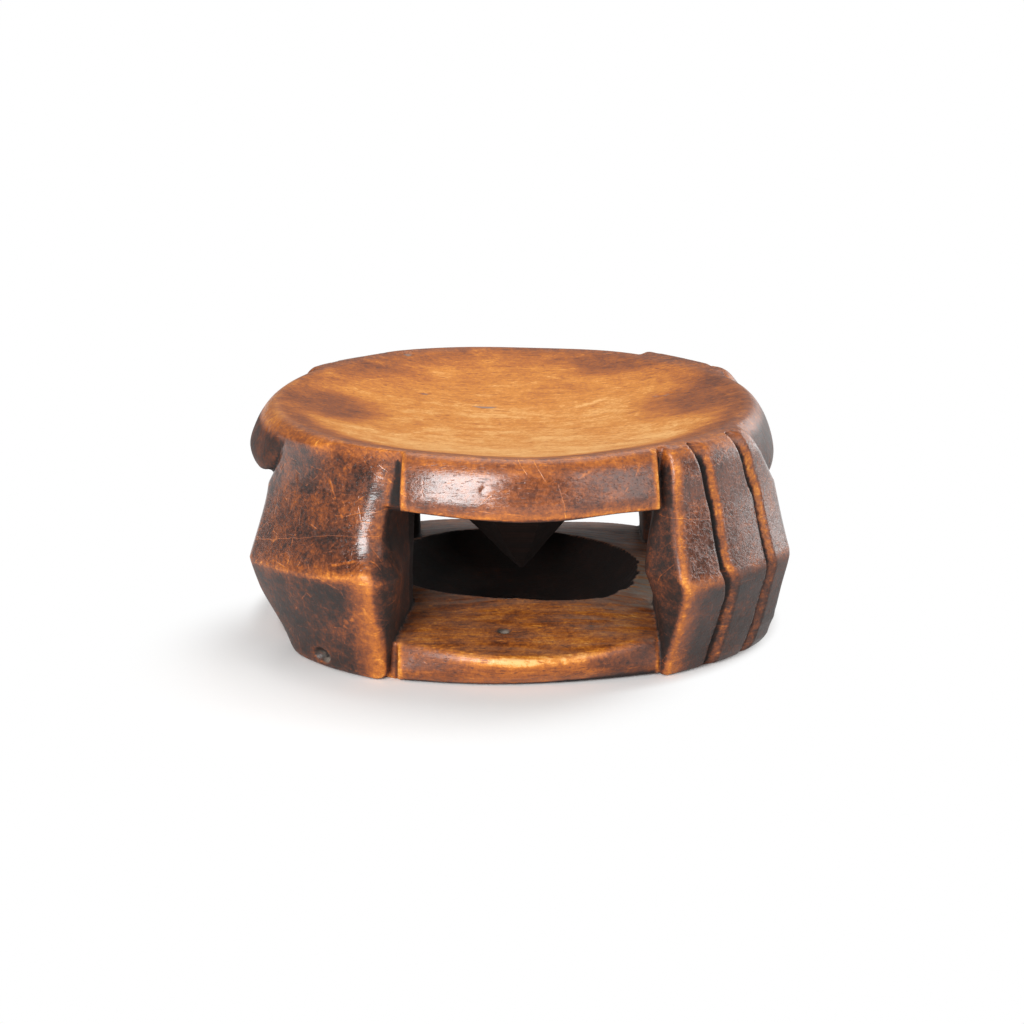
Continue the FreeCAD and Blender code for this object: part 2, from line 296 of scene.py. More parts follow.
def turned_field(outline):
    """A function of radius and height: the distance to a closed outline that is turned about the axis."""
    r = (TABLE_LOW[0] + TABLE_STEP * np.arange(TABLE_SIZE[0]))[:, None]
    z = (TABLE_LOW[1] + TABLE_STEP * np.arange(TABLE_SIZE[1]))[None, :]
    nearest = np.full(TABLE_SIZE, 1e9)
    inside = np.zeros(TABLE_SIZE, bool)
    for (r0, z0), (r1, z1) in zip(outline, outline[1:] + outline[:1]):
        dr, dz = r1 - r0, z1 - z0
        t = np.clip(((r - r0) * dr + (z - z0) * dz) / (dr * dr + dz * dz + 1e-12), 0.0, 1.0)
        nearest = np.minimum(nearest, (r - r0 - dr * t) ** 2 + (z - z0 - dz * t) ** 2)
        if dz:
            inside ^= ((z0 <= z) != (z1 <= z)) & (r < r0 + (z - z0) * dr / dz)
    table = np.where(inside, -1.0, 1.0) * np.sqrt(nearest)

    def field(radius, height):
        u = np.clip((radius - TABLE_LOW[0]) / TABLE_STEP, 0, TABLE_SIZE[0] - 1.001)
        w = np.clip((height - TABLE_LOW[1]) / TABLE_STEP, 0, TABLE_SIZE[1] - 1.001)
        i, k = u.astype(int), w.astype(int)
        u, w = u - i, w - k
        low = table[i, k] * (1 - u) + table[i + 1, k] * u
        return low * (1 - w) + (table[i, k + 1] * (1 - u) + table[i + 1, k + 1] * u) * w

    return field


def seat_outline(dish_depth):
    """Half section of the seat: dish, rounded crest, bulging apron and flat underside."""
    floor = SEAT_TOP - dish_depth
    rim = [(0, floor), (45, floor + 2), (90, floor + 7.4), (122, floor + 14), (138, SEAT_TOP - 1.2),
           (144.5, SEAT_TOP - 0.2), (149.5, SEAT_TOP - 3), (154, SEAT_TOP - 9.5), (157.5, SEAT_TOP - 18),
           (APRON_REACH, SEAT_TOP - 27), (158.6, SEAT_UNDERSIDE + 3), (156.8, SEAT_UNDERSIDE + 0.7),
           (151, SEAT_UNDERSIDE)]
    return [(TABLE_LOW[0], floor), *curve_through(rim), (TABLE_LOW[0], SEAT_UNDERSIDE)]


def base_outline():
    """Half section of the base: a ring that is higher at its hole, which narrows downwards like a bowl."""
    hole = HOLE_RADIUS
    edge = [(28.5, 0), (30, 3.5), (37, 7), (56, 13), (69, 20.5), (hole - 1, 27.5),
            (hole + 0.2, BASE_TOP - 1), (hole + 3, BASE_TOP - 0.2), (105, 27), (138, 23.2), (142.8, 22),
            (144.6, 20), (145.2, 16.5), (144, 8), (139.5, 1.6), (135, 0)]
    return curve_through(edge)


def leg_face(plan_name):
    """Points of the half section of a leg's outer face: foot, knee, upper face, top."""
    if plan_name == "right":
        face = [(140, 0), (149, 0.4), (153, 5), (156, 16), (165, 37), (173, 54), (174.8, 60.5), (172.6, 68),
                (164.5, 90), (158.5, 110), (155, 123), (151, 131.5), (146, 135), (139, 135)]
        return curve_through(face)
    lower = [(140, 0), (149, 0.4), (152, 4), (154, 12), (159, 31), (165.6, 52), (167.6, 58.4)]
    upper = [(168.2, 60.4), (167.2, 63.2), (159.8, 86), (154, 106), (150.5, 121), (148, 130), (144.5, 134.4),
             (139, 134.8)]
    return curve_through(lower) + curve_through(upper)


def leg_outline(plan_name):
    """Closed half section of a leg."""
    return [(40, 0), *leg_face(plan_name), (133, 112), (40, 112)]


def outside_of(across, deep, a, b):
    """Distance to the left of a line from a to b in plan."""
    run, rise = b[0] - a[0], b[1] - a[1]
    return (run * (deep - a[1]) - rise * (across - a[0])) / np.hypot(run, rise)


def wall_offset(plan, wall, z):
    """How far a wall stands off the diagonal at a height."""
    heights, offsets = zip(*plan[wall])
    return np.interp(z, heights, offsets)


def mouth_point(offset):
    """Where a wall that stands off the diagonal by the given distance meets the mouth of a window."""
    along = np.sqrt(MOUTH_RADIUS ** 2 - offset ** 2)
    return (along + offset) / math.sqrt(2), (along - offset) / math.sqrt(2)


def face_spread(plan, lateral, z):
    """How much further out a leg's face stands towards its side wall."""
    return wall_offset(plan, "spread", z) * np.maximum(lateral, 0.0)


def knee_lift(plan_name, lateral, z):
    """How far the bowed knee of a left leg lies above its middle height. A right leg's knee is level."""
    if plan_name == "right":
        return np.zeros_like(lateral)
    bend = np.sin(np.clip(z / SEAT_TOP, 0.0, 1.0) * math.pi)
    return bend * (0.00106 * lateral - 0.1114) * lateral


def in_corner(leg, x, y):
    """A point in a leg's own corner: across, deep, and how far off the diagonal towards the side wall."""
    across, deep = x * leg["corner"][0], y * leg["corner"][1]
    return across, deep, (across - deep) / math.sqrt(2)


def shoulder_share(z):
    """How much of a leg's shoulder stands out at a height."""
    return smooth_step(98.0, 128.0, z)


def sideways_share(x, y):
    """0 towards the front and the back of the stool, and 1 towards its sides."""
    return smooth_step(-20.0, 20.0, np.abs(x) - np.abs(y))


def scar_share(x, y, z, centre, half):
    """How much of an old hurt a point has: 1 at its centre and 0 from its edge on."""
    reach = sum(((value - middle) / size) ** 2 for value, middle, size in zip((x, y, z), centre, half))
    return np.clip(1.4 * (1.0 - reach), 0.0, 1.0)


def hand_wobble(x, y, z):
    """The block as the hand left it: nothing quite straight or round."""
    dx = 0.7 * np.sin(0.043 * y + 0.061 * z + 1.3) + 0.4 * np.sin(0.083 * z - 0.07 * x + 0.4)
    dy = 0.7 * np.sin(0.047 * x - 0.055 * z + 2.1) + 0.4 * np.sin(0.091 * z + 0.08 * y + 1.7)
    dz = 0.5 * np.sin(0.05 * x + 0.6) * np.sin(0.045 * y + 1.1) * smooth_step(4.0, 20.0, z)
    return x + dx, y + dy, z + dz


def make_block_field(shape):
    """The whole carved form as a function of X, Y and Z in millimetres."""
    seat_section = turned_field(seat_outline(shape.dish_depth / MM))
    base_section = turned_field(base_outline())
    leg_sections = {name: turned_field(leg_outline(name)) for name in WALLS}
    sill_wear = shape.sill_wear / MM

    def uncut_seat(x, y, z, radius):
        """The seat without its notches: fuller in front, slimmer at the sides, with an uneven lip."""
        crest = smooth_step(112.0, SEAT_TOP, z)
        seat_radius = radius - 2.5 * crest * (np.maximum(-y, 0.0) / (radius + 1.0)) ** 2
        seat_radius = seat_radius + 2.8 * (x / (radius + 1.0)) ** 4 * smooth_step(100.0, 135.0, radius)
        lip = 1.8 + 1.8 * np.exp(-((x - 58.0) / 22.0) ** 2)
        lip = lip * smooth_step(-10.0, 30.0, np.abs(y) - np.abs(x))
        lip = (lip + np.clip(0.05 * (4.0 - x), 0.0, 4.5)) * smooth_step(138.0, 150.0, radius)
        lip *= fade(SEAT_UNDERSIDE + 3.0, SEAT_UNDERSIDE + 22.0, z)
        swell = 1.6 * np.exp(-((x + 78.0) / 30.0) ** 2 - ((y - 122.0) / 30.0) ** 2)
        return seat_section(seat_radius, z - lip - swell)

    def uncut_base(x, y, z, radius):
        """The base without its notches: a hole hacked by eye, a foot drawn in at the middle, worn sills."""
        angle = np.degrees(np.arctan2(y, x))
        hacked = smooth_step(-62.0, -45.0, angle) * fade(0.0, 20.0, angle) * smooth_step(14.0, 28.0, z)
        hole = np.interp(angle, *zip(*HOLE_EDGE))
        hole = hole + hacked * (np.sin(0.35 * angle) + 0.6 * np.sin(0.83 * angle))
        near_hole = smooth_step(28.0, 70.0, radius) * fade(92.0, 128.0, radius)
        foot = np.clip(3.0 - 9.0 * ((x - 10.0) / 75.0) ** 2, -6.0, 3.0)
        foot *= smooth_step(-10.0, 20.0, np.abs(y) - np.abs(x))
        foot *= fade(2.0, 20.0, z) * smooth_step(110.0, 135.0, radius)
        ring_radius = radius + (HOLE_RADIUS - hole) * near_hole + foot
        worn = np.exp(-((x - 12.0) / 60.0) ** 2) * smooth_step(95.0, 142.0, np.abs(y))
        return base_section(ring_radius, z + sill_wear * worn * smooth_step(2.0, 18.0, z))

    def whole_leg(leg, across, deep, lateral, z, radius):
        """One leg: its turned face, bowed and rounded by eye, between its walls and flanks."""
        plan = WALLS[leg["plan"]]
        front, side = (wall_offset(plan, wall, z) for wall in ("front", "side"))
        front_flank = outside_of(across, deep, plan["inner"], mouth_point(-front))
        side_flank = outside_of(across, deep, mouth_point(side), plan["inner"])
        bulge, front_round, side_round = 0.0, 4.0, 9.0
        if leg["plan"] == "left":
            above_knee = smooth_step(58.0, 80.0, z)
            bulge = np.maximum(FACE_BULGE_WIDTH - lateral - front, 0.0) ** 2 / (2.0 * FACE_BULGE_RADIUS)
            bulge = bulge * above_knee
            front_round = 7.0 + 4.0 * above_knee
            side_round = 7.0 + 24.0 * fade(0.0, 40.0, z) - 3.0 * smooth_step(90.0, 110.0, z)
        top = shoulder_share(z)
        out = face_spread(plan, lateral, z) + leg["shoulder"] * top - bulge * (1.0 - 0.4 * top)
        up = knee_lift(leg["plan"], lateral, z) + 0.15 * leg["shoulder"] * top
        form = leg_sections[leg["plan"]](radius - out, z - up)
        form = soft_max(form, soft_max(-lateral - front, front_flank, FLANK_ROUND), front_round)
        return soft_max(form, soft_max(lateral - side, side_flank, FLANK_ROUND), side_round)

    def field(x, y, z):
        x, y, z = hand_wobble(x, y, z)
        radius = np.hypot(x, y)
        seat = apron = uncut_seat(x, y, z, radius)
        base = kerb = uncut_base(x, y, z, radius)
        legs = np.inf
        for leg in LEGS.values():
            plan = WALLS[leg["plan"]]
            across, deep, lateral = in_corner(leg, x, y)
            side_wall = lateral - wall_offset(plan, "side", z)
            beyond = -(across + deep) / math.sqrt(2)
            apron_front = wall_offset(plan, "apron_end", z) - across
            lobe_lap, lobe_round = plan["lobe"]
            for_apron = np.maximum(np.maximum(apron_front, side_wall + lobe_lap), beyond)
            for_kerb = np.maximum(np.maximum(plan["kerb_end"] - across, side_wall), beyond)
            end_round = np.where(side_wall > apron_front, lobe_round, FRONT_END_ROUND)
            apron = soft_max(apron, -for_apron, end_round)
            kerb = soft_max(kerb, -for_kerb, FRONT_END_ROUND)
            legs = np.minimum(legs, whole_leg(leg, across, deep, lateral, z, radius))
        deeper = (SIDE_GROOVE_RADIUS - APRON_GROOVE_RADIUS) * sideways_share(x, y)
        seat = np.minimum(np.maximum(seat, radius - (APRON_GROOVE_RADIUS + deeper)), apron)
        base = np.minimum(np.maximum(base, radius - KERB_GROOVE_RADIUS), kerb)
        block = soft_min(soft_min(seat, legs, SEAT_FILLET), base, BASE_FILLET)
        for centre, half, depth in SCARS.values():
            block = block + depth * scar_share(x, y, z, centre, half)
        return block

    return field


# Corner offsets of a grid cell, and the pairs of corners that its twelve edges join
CORNERS = np.array([(i, j, k) for i in (0, 1) for j in (0, 1) for k in (0, 1)])
EDGES = [(a, b) for a in range(8) for b in range(a + 1, 8) if abs(CORNERS[a] - CORNERS[b]).sum() == 1]


def surface_net(samples, low, step):
    """Points and quads of the surface where the sampled field changes sign."""
    inside = samples < 0.0
    cells_shape = tuple(n - 1 for n in samples.shape)
    count = np.zeros(cells_shape, np.int8)
    for i, j, k in CORNERS:
        count += inside[i:i + cells_shape[0], j:j + cells_shape[1], k:k + cells_shape[2]]
    mixed = (count > 0) & (count < 8)
    cells = np.argwhere(mixed)
    index = np.full(cells_shape, -1, np.int32)
    index[mixed] = np.arange(len(cells))
    nodes = cells[:, None, :] + CORNERS[None, :, :]
    values = samples[nodes[..., 0], nodes[..., 1], nodes[..., 2]]
    total = np.zeros((len(cells), 3))
    hits = np.zeros((len(cells), 1))
    for a, b in EDGES:
        crossed = ((values[:, a] < 0) != (values[:, b] < 0))[:, None]
        t = (values[:, a] / (values[:, a] - values[:, b] + 1e-12))[:, None]
        total += np.where(crossed, CORNERS[a] + t * (CORNERS[b] - CORNERS[a]), 0.0)
        hits += crossed
    points = low + step * (cells + total / hits)
    quads = []
    for axis in range(3):
        second, third = np.eye(3, dtype=int)[[(axis + 1) % 3, (axis + 2) % 3]]
        lower = inside[tuple(slice(0, -1) if n == axis else slice(None) for n in range(3))]
        upper = inside[tuple(slice(1, None) if n == axis else slice(None) for n in range(3))]
        crossing = np.argwhere(lower != upper)
        ring = [index[tuple((crossing - shift).T)] for shift in (0 * second, second, second + third, third)]
        ring = np.stack(ring, axis=1)
        faces_up = lower[tuple(crossing.T)]
        quads.append(np.where(faces_up[:, None], ring, ring[:, ::-1]))
    return points, np.concatenate(quads)


def carve_block(shape):
    """Points in millimetres and quads of the whole carved form."""
    field = make_block_field(shape)
    step = shape.grid_step / MM
    reach = 184.0
    plan = np.arange(-reach, reach, step)
    heights = np.arange(-3.3, SEAT_TOP + 4.0, step)
    x, y = np.meshgrid(plan, plan, indexing="ij")
    samples = np.stack([field(x, y, np.full_like(x, z)) for z in heights], axis=-1)
    points, quads = surface_net(samples, np.array([plan[0], plan[0], heights[0]]), step)
    nudge = 0.3
    for _ in range(3):
        value = field(*points.T)
        slope = [(field(*(points + nudge * axis).T) - field(*(points - nudge * axis).T)) / (2 * nudge)
                 for axis in np.eye(3)]
        slope = np.stack(slope, axis=1)
        shift = -value[:, None] * slope / ((slope ** 2).sum(axis=1, keepdims=True) + 0.05)
        points += np.clip(shift, -0.5 * step, 0.5 * step)
    points[:, 2] = np.maximum(points[:, 2], 0.0)
    return points, quads


def mesh_from(name, points_mm, faces):
    """A smooth-shaded mesh from points in millimetres."""
    mesh = bpy.data.meshes.new(name)
    mesh.from_pydata((points_mm * MM).tolist(), [], faces.tolist())
    mesh.shade_smooth()
    mesh.update()
    return mesh


def place(name, mesh):
    """An object for a mesh, linked to the scene at the origin."""
    made = bpy.data.objects.new(name, mesh)
    bpy.context.scene.collection.objects.link(made)
    return made


def evaluated_mesh(made):
    """The plain mesh that an object's modifiers give. The object goes, and its mesh too unless it is kept."""
    bpy.context.view_layer.update()
    graph = bpy.context.evaluated_depsgraph_get()
    result = bpy.data.meshes.new_from_object(made.evaluated_get(graph), depsgraph=graph)
    name, source = made.name, made.data
    bpy.data.objects.remove(made)
    if not source.use_fake_user:
        bpy.data.meshes.remove(source)
    result.name = name
    return result


def add(tree, kind, inputs=None, **settings):
    """Adds a node with its settings, and fills or links its input sockets."""
    node = tree.nodes.new(kind)
    for name, value in settings.items():
        setattr(node, name, value)
    for name, value in (inputs or {}).items():
        if isinstance(value, bpy.types.NodeSocket):
            tree.links.new(value, node.inputs[name])
        else:
            node.inputs[name].default_value = value
    return node


def number_maths(tree, operation, a, b=0.0):
    """A number worked out from two numbers."""
    return add(tree, "ShaderNodeMath", {0: a, 1: b}, operation=operation).outputs[0]


def vector_maths(tree, operation, a, b=(0.0, 0.0, 0.0), output="Vector"):
    """A vector, or with output "Value" a number, worked out from two vectors."""
    return add(tree, "ShaderNodeVectorMath", {0: a, 1: b}, operation=operation).outputs[output]


def scaled(tree, vector, factor):
    """A vector times a number."""
    return add(tree, "ShaderNodeVectorMath", {0: vector, "Scale": factor}, operation="SCALE").outputs[0]


def remap(tree, value, low, high, to_low=0.0, to_high=1.0, ease="LINEAR"):
    """A number taken from one range to another and held within it."""
    return add(tree, "ShaderNodeMapRange", {
        "Value": value, "From Min": low, "From Max": high, "To Min": to_low, "To Max": to_high},
        interpolation_type=ease).outputs[0]


def carving_tree(name, sockets):
    """A Geometry Nodes tree with named inputs. Gives the tree and the outputs of its group input."""
    tree = bpy.data.node_groups.new(name, "GeometryNodeTree")
    tree.interface.new_socket("Geometry", in_out="OUTPUT", socket_type="NodeSocketGeometry")
    for label, kind in {"Geometry": "Geometry", **sockets}.items():
        tree.interface.new_socket(label, in_out="INPUT", socket_type="NodeSocket" + kind)
    return tree, tree.nodes.new("NodeGroupInput").outputs


def close_tree(tree, geometry, material):
    """Ends a tree: instances made real, then the material."""
    real = add(tree, "GeometryNodeRealizeInstances", {"Geometry": geometry})
    dressed = add(tree, "GeometryNodeSetMaterial", {"Geometry": real.outputs[0], "Material": material})
    add(tree, "NodeGroupOutput", {"Geometry": dressed.outputs[0]})


def run_tree(mesh, tree, values):
    """The plain mesh that a tree makes of a mesh, which it takes the place of."""
    made = place(mesh.name, mesh)
    modifier = made.modifiers.new(tree.name, "NODES")
    modifier.node_group = tree
    for item in tree.interface.items_tree:
        if item.in_out == "INPUT" and item.name in values:
            modifier[item.identifier] = values[item.name]
    return evaluated_mesh(made)


def rib_tree():
    """Cuts grooves along paths: one steep wall and one long slope, sunk towards the stool's axis."""
    tree, given = carving_tree("Rib grooves", {
        "Paths": "Object", "Across": "Vector", "Slope width": "Float", "Wall width": "Float",
        "Depth": "Float", "Snap": "Float", "Wood": "Material"})
    maths, vectors = partial(number_maths, tree), partial(vector_maths, tree)
    times = partial(maths, "MULTIPLY")

    def fall(value, start, end):
        return remap(tree, value, start, end, 1.0, 0.0)

    slope_width = given["Slope width"]
    paths = add(tree, "GeometryNodeObjectInfo", {"Object": given["Paths"]})
    line = add(tree, "GeometryNodeCurveToMesh", {"Curve": paths.outputs["Geometry"]})
    near = add(tree, "GeometryNodeProximity", {"Geometry": line.outputs[0]}, target_element="EDGES")
    position = add(tree, "GeometryNodeInputPosition").outputs[0]
    normal = add(tree, "GeometryNodeInputNormal").outputs[0]
    outward = vectors("NORMALIZE", vectors("MULTIPLY", position, (1.0, 1.0, 0.0)))
    slant = vectors("PROJECT", given["Across"], outward)
    tangent = vectors("NORMALIZE", vectors("SUBTRACT", given["Across"], slant))
    away = vectors("SUBTRACT", position, near.outputs["Position"])
    aside = vectors("DOT_PRODUCT", away, tangent, "Value")
    facing = vectors("DOT_PRODUCT", normal, outward, "Value")
    ends = fall(near.outputs["Distance"], slope_width, times(slope_width, 1.4))
    limit = times(ends, fall(facing, 0.6, 0.15))
    back = times(given["Wall width"], -1.0)
    # Points near an arris are moved on to it, so that the arris comes out straight
    nudge = 0.0
    for arris in (back, 0.0, slope_width):
        apart = maths("SUBTRACT", arris, aside)
        close = maths("LESS_THAN", maths("ABSOLUTE", apart), given["Snap"])
        nudge = maths("ADD", nudge, times(apart, close))
    nudge = times(nudge, maths("GREATER_THAN", limit, 0.5))
    settled = maths("ADD", aside, nudge)
    on_slope = times(maths("GREATER_THAN", settled, 0.0), maths("LESS_THAN", settled, slope_width))
    on_wall = times(maths("GREATER_THAN", settled, back), maths("LESS_THAN", settled, 0.1 * MM))
    profile = maths("MINIMUM", fall(settled, 0.0, slope_width), fall(settled, 0.0, back))
    # The mark rises from 0.3 to 1 down the slope, and is -1 on the steep wall
    depth_share = maths("ADD", times(profile, 0.7), 0.3)
    side = times(maths("SUBTRACT", times(on_slope, depth_share), on_wall), limit)
    earlier = add(tree, "GeometryNodeInputNamedAttribute", {"Name": GROOVE}, data_type="FLOAT")
    marked = add(tree, "GeometryNodeStoreNamedAttribute", {
        "Geometry": given["Geometry"], "Name": GROOVE, "Value": maths("ADD", side, earlier.outputs[0])})
    sunk = times(times(profile, limit), times(given["Depth"], -1.0))
    shift = vectors("ADD", scaled(tree, outward, sunk), scaled(tree, tangent, nudge))
    carved = add(tree, "GeometryNodeSetPosition", {"Geometry": marked.outputs[0], "Offset": shift})
    close_tree(tree, carved.outputs[0], given["Wood"])
    return tree


def nick_tree():
    """Scatters small dents over a surface, each with its own size."""
    tree, given = carving_tree("Nicks", {
        "Per square metre": "Float", "Radius": "Float", "Depth": "Float", "Seed": "Int", "Wood": "Material"})
    times = partial(number_maths, tree, "MULTIPLY")
    points = add(tree, "GeometryNodeDistributePointsOnFaces", {
        "Mesh": given["Geometry"], "Density": given["Per square metre"], "Seed": given["Seed"]})
    near = add(tree, "GeometryNodeProximity", {"Geometry": points.outputs[0]}, target_element="POINTS")
    draw = add(tree, "ShaderNodeTexWhiteNoise", {"Vector": near.outputs["Position"]}).outputs["Value"]
    radius = times(remap(tree, draw, 0.0, 1.0, 0.45, 1.0), given["Radius"])
    bowl = remap(tree, near.outputs["Distance"], 0.0, radius, 1.0, 0.0, "SMOOTHSTEP")
    dent = times(bowl, times(draw, given["Depth"]))
    normal = add(tree, "GeometryNodeInputNormal").outputs[0]
    shift = scaled(tree, normal, times(dent, -1.0))
    dented = add(tree, "GeometryNodeSetPosition", {"Geometry": given["Geometry"], "Offset": shift})
    close_tree(tree, dented.outputs[0], given["Wood"])
    return tree


def pendant_tree():
    """A faceted point that hangs down: a cone with few sides, leaning and hewn uneven."""
    tree, given = carving_tree("Faceted pendant", {
        "Sides": "Int", "Flat radius": "Float", "Length": "Float", "Top": "Float", "Lean": "Float",
        "Tool marks": "Float", "Wood": "Material"})
    maths = partial(number_maths, tree)
    half = maths("DIVIDE", math.pi, given["Sides"])
    corner = maths("DIVIDE", given["Flat radius"], maths("COSINE", half))
    cone = add(tree, "GeometryNodeMeshCone", {
        "Vertices": given["Sides"], "Side Segments": 12, "Fill Segments": 4,
        "Radius Top": PENDANT_TIP_RADIUS * MM, "Radius Bottom": corner, "Depth": given["Length"]},
        fill_type="TRIANGLE_FAN")
    turn = add(tree, "ShaderNodeCombineXYZ", {0: math.pi, 2: half})
    lift = add(tree, "ShaderNodeCombineXYZ", {2: given["Top"]})
    hung = add(tree, "GeometryNodeTransform", {
        "Geometry": cone.outputs["Mesh"], "Translation": lift.outputs[0], "Rotation": turn.outputs[0]})
    fine = add(tree, "GeometryNodeSubdivideMesh", {"Mesh": hung.outputs[0], "Level": 3})
    ridge = add(tree, "GeometryNodeInputMeshEdgeAngle")
    sharp = add(tree, "FunctionNodeCompare", {0: ridge.outputs[0], 1: 0.3}, operation="GREATER_THAN")
    smooth = add(tree, "GeometryNodeSetShadeSmooth", {"Geometry": fine.outputs[0], "Shade Smooth": True},
                 domain="FACE")
    edged = add(tree, "GeometryNodeSetShadeSmooth", {
        "Geometry": smooth.outputs[0], "Selection": sharp.outputs[0], "Shade Smooth": False}, domain="EDGE")
    position = add(tree, "GeometryNodeInputPosition").outputs[0]
    height = add(tree, "ShaderNodeSeparateXYZ", {0: position}).outputs[2]
    drop = maths("SUBTRACT", given["Top"], height)
    sway = add(tree, "ShaderNodeCombineXYZ", {0: maths("MULTIPLY", drop, given["Lean"])})
    noise = add(tree, "ShaderNodeTexNoise", {"Vector": position, "Scale": 60.0, "Detail": 2.0})
    uneven = vector_maths(tree, "SUBTRACT", noise.outputs["Color"], (0.5, 0.5, 0.5))
    # The tool marks begin a little below the seat
    hewn = scaled(tree, scaled(tree, uneven, given["Tool marks"]), remap(tree, drop, 0.0, 4 * MM))
    shift = vector_maths(tree, "ADD", sway.outputs[0], hewn)
    finished = add(tree, "GeometryNodeSetPosition", {"Geometry": edged.outputs[0], "Offset": shift})
    close_tree(tree, finished.outputs[0], given["Wood"])
    return tree


def groove_paths(leg):
    """A curve object with one spline for each groove, lying on the leg's outer face."""
    plan = WALLS[leg["plan"]]
    face = [point for point in leg_face(leg["plan"]) if point[0] > 140.0]
    radii, heights = zip(*sorted(face, key=lambda point: point[1]))
    curve = bpy.data.curves.new("groove_paths", "CURVE")
    curve.dimensions = "3D"
    for line in RIB_GROOVES:
        z = np.linspace(line[0][0], line[-1][0], 40)
        share = np.interp(z, *zip(*line[::-1]))
        front, side = (wall_offset(plan, wall, z) for wall in ("front", "side"))
        lateral = share * (front + side) - front
        radius = np.interp(z - knee_lift(leg["plan"], lateral, z), heights, radii)
        radius += face_spread(plan, lateral, z) + leg["shoulder"] * shoulder_share(z)
        along = np.sqrt(radius ** 2 - lateral ** 2)
        x = leg["corner"][0] * (along + lateral) / math.sqrt(2)
        y = leg["corner"][1] * (along - lateral) / math.sqrt(2)
        spline = curve.splines.new("POLY")
        spline.points.add(len(z) - 1)
        for point, place_mm in zip(spline.points, zip(x, y, z)):
            point.co = (*(Vector(place_mm) * MM), 1.0)
    return place("groove_paths", curve)


# Wear and patina: what hands, feet and smoke did, and painted light and shade, as numbers that ride on the
# surface


# What the wood has before anything is laid on it, and the three layers that carry the numbers
BARE_SKIN = {"tone": 0.26, "gloss": 0.4, "grain": 0.4, "crackle": 0.0, "patchy": 0.8, "dust": 0.0,
             "wrinkle": 0.2, "flecks": 0.0}
LAYERS = {"paint": ("tone", "wear", "gloss"), "marks": ("grain", "crackle", "patchy"),
          "skin": ("dust", "wrinkle", "flecks")}

# Soft stains in the dish and on the ring of the base: centre, size, strength, and what they change. The first
# on the ring is grey dust, made lighter too as painted light where the base lies in shade.
DISH_STAINS = (
    ((-110.0, 10.0, 126.0), 46.0, 0.9, {"tone": 0.47}),
    ((116.0, 22.0, 126.0), 56.0, 0.9, {"tone": 0.48}),
    ((60.0, 118.0, 132.0), 38.0, 0.7, {"tone": 0.45}),
    ((-84.0, 92.0, 130.0), 36.0, 0.6, {"tone": 0.5}),
)
RING_STAINS_AND_LIGHT = (
    ((78.0, -32.0, 27.0), 60.0, 1.0, {"tone": 0.7, "dust": 1.5, "gloss": 0.75}),
    ((52.0, -90.0, 25.0), 34.0, 0.6, {"tone": 0.62, "dust": 0.7}),
)


def read_all(items, name, width=1, kind=np.float32):
    """One property of every item of a mesh, as an array with a row for each item."""
    values = np.empty(len(items) * width, kind)
    items.foreach_get(name, values)
    return values.reshape(-1, width) if width > 1 else values


def mesh_arrays(mesh):
    """Points in millimetres, point normals, and the point that each face corner uses."""
    points = read_all(mesh.vertices, "co", 3, float) / MM
    normals = read_all(mesh.vertex_normals, "vector", 3, float)
    return points, normals, read_all(mesh.loops, "vertex_index", kind=np.int32)


def relief(mesh, points, normals, rounds):
    """How far each point stands proud of its smoothed surroundings, in millimetres."""
    a, b = read_all(mesh.edges, "vertices", 2, np.int32).T
    size = len(points)
    count = np.bincount(a, minlength=size) + np.bincount(b, minlength=size)
    smoothed = points.copy()
    for _ in range(rounds):
        total = [np.bincount(a, smoothed[b, k], size) + np.bincount(b, smoothed[a, k], size)
                 for k in range(3)]
        total = np.stack(total, axis=1)
        smoothed = 0.5 * smoothed + 0.5 * total / count[:, None]
    return ((points - smoothed) * normals).sum(axis=1)


def spot(points, centre, size):
    """A soft round patch: 1 at its centre and 0 outside its size."""
    return fade(0.2 * size, size, np.sqrt(((points - centre) ** 2).sum(axis=1)))


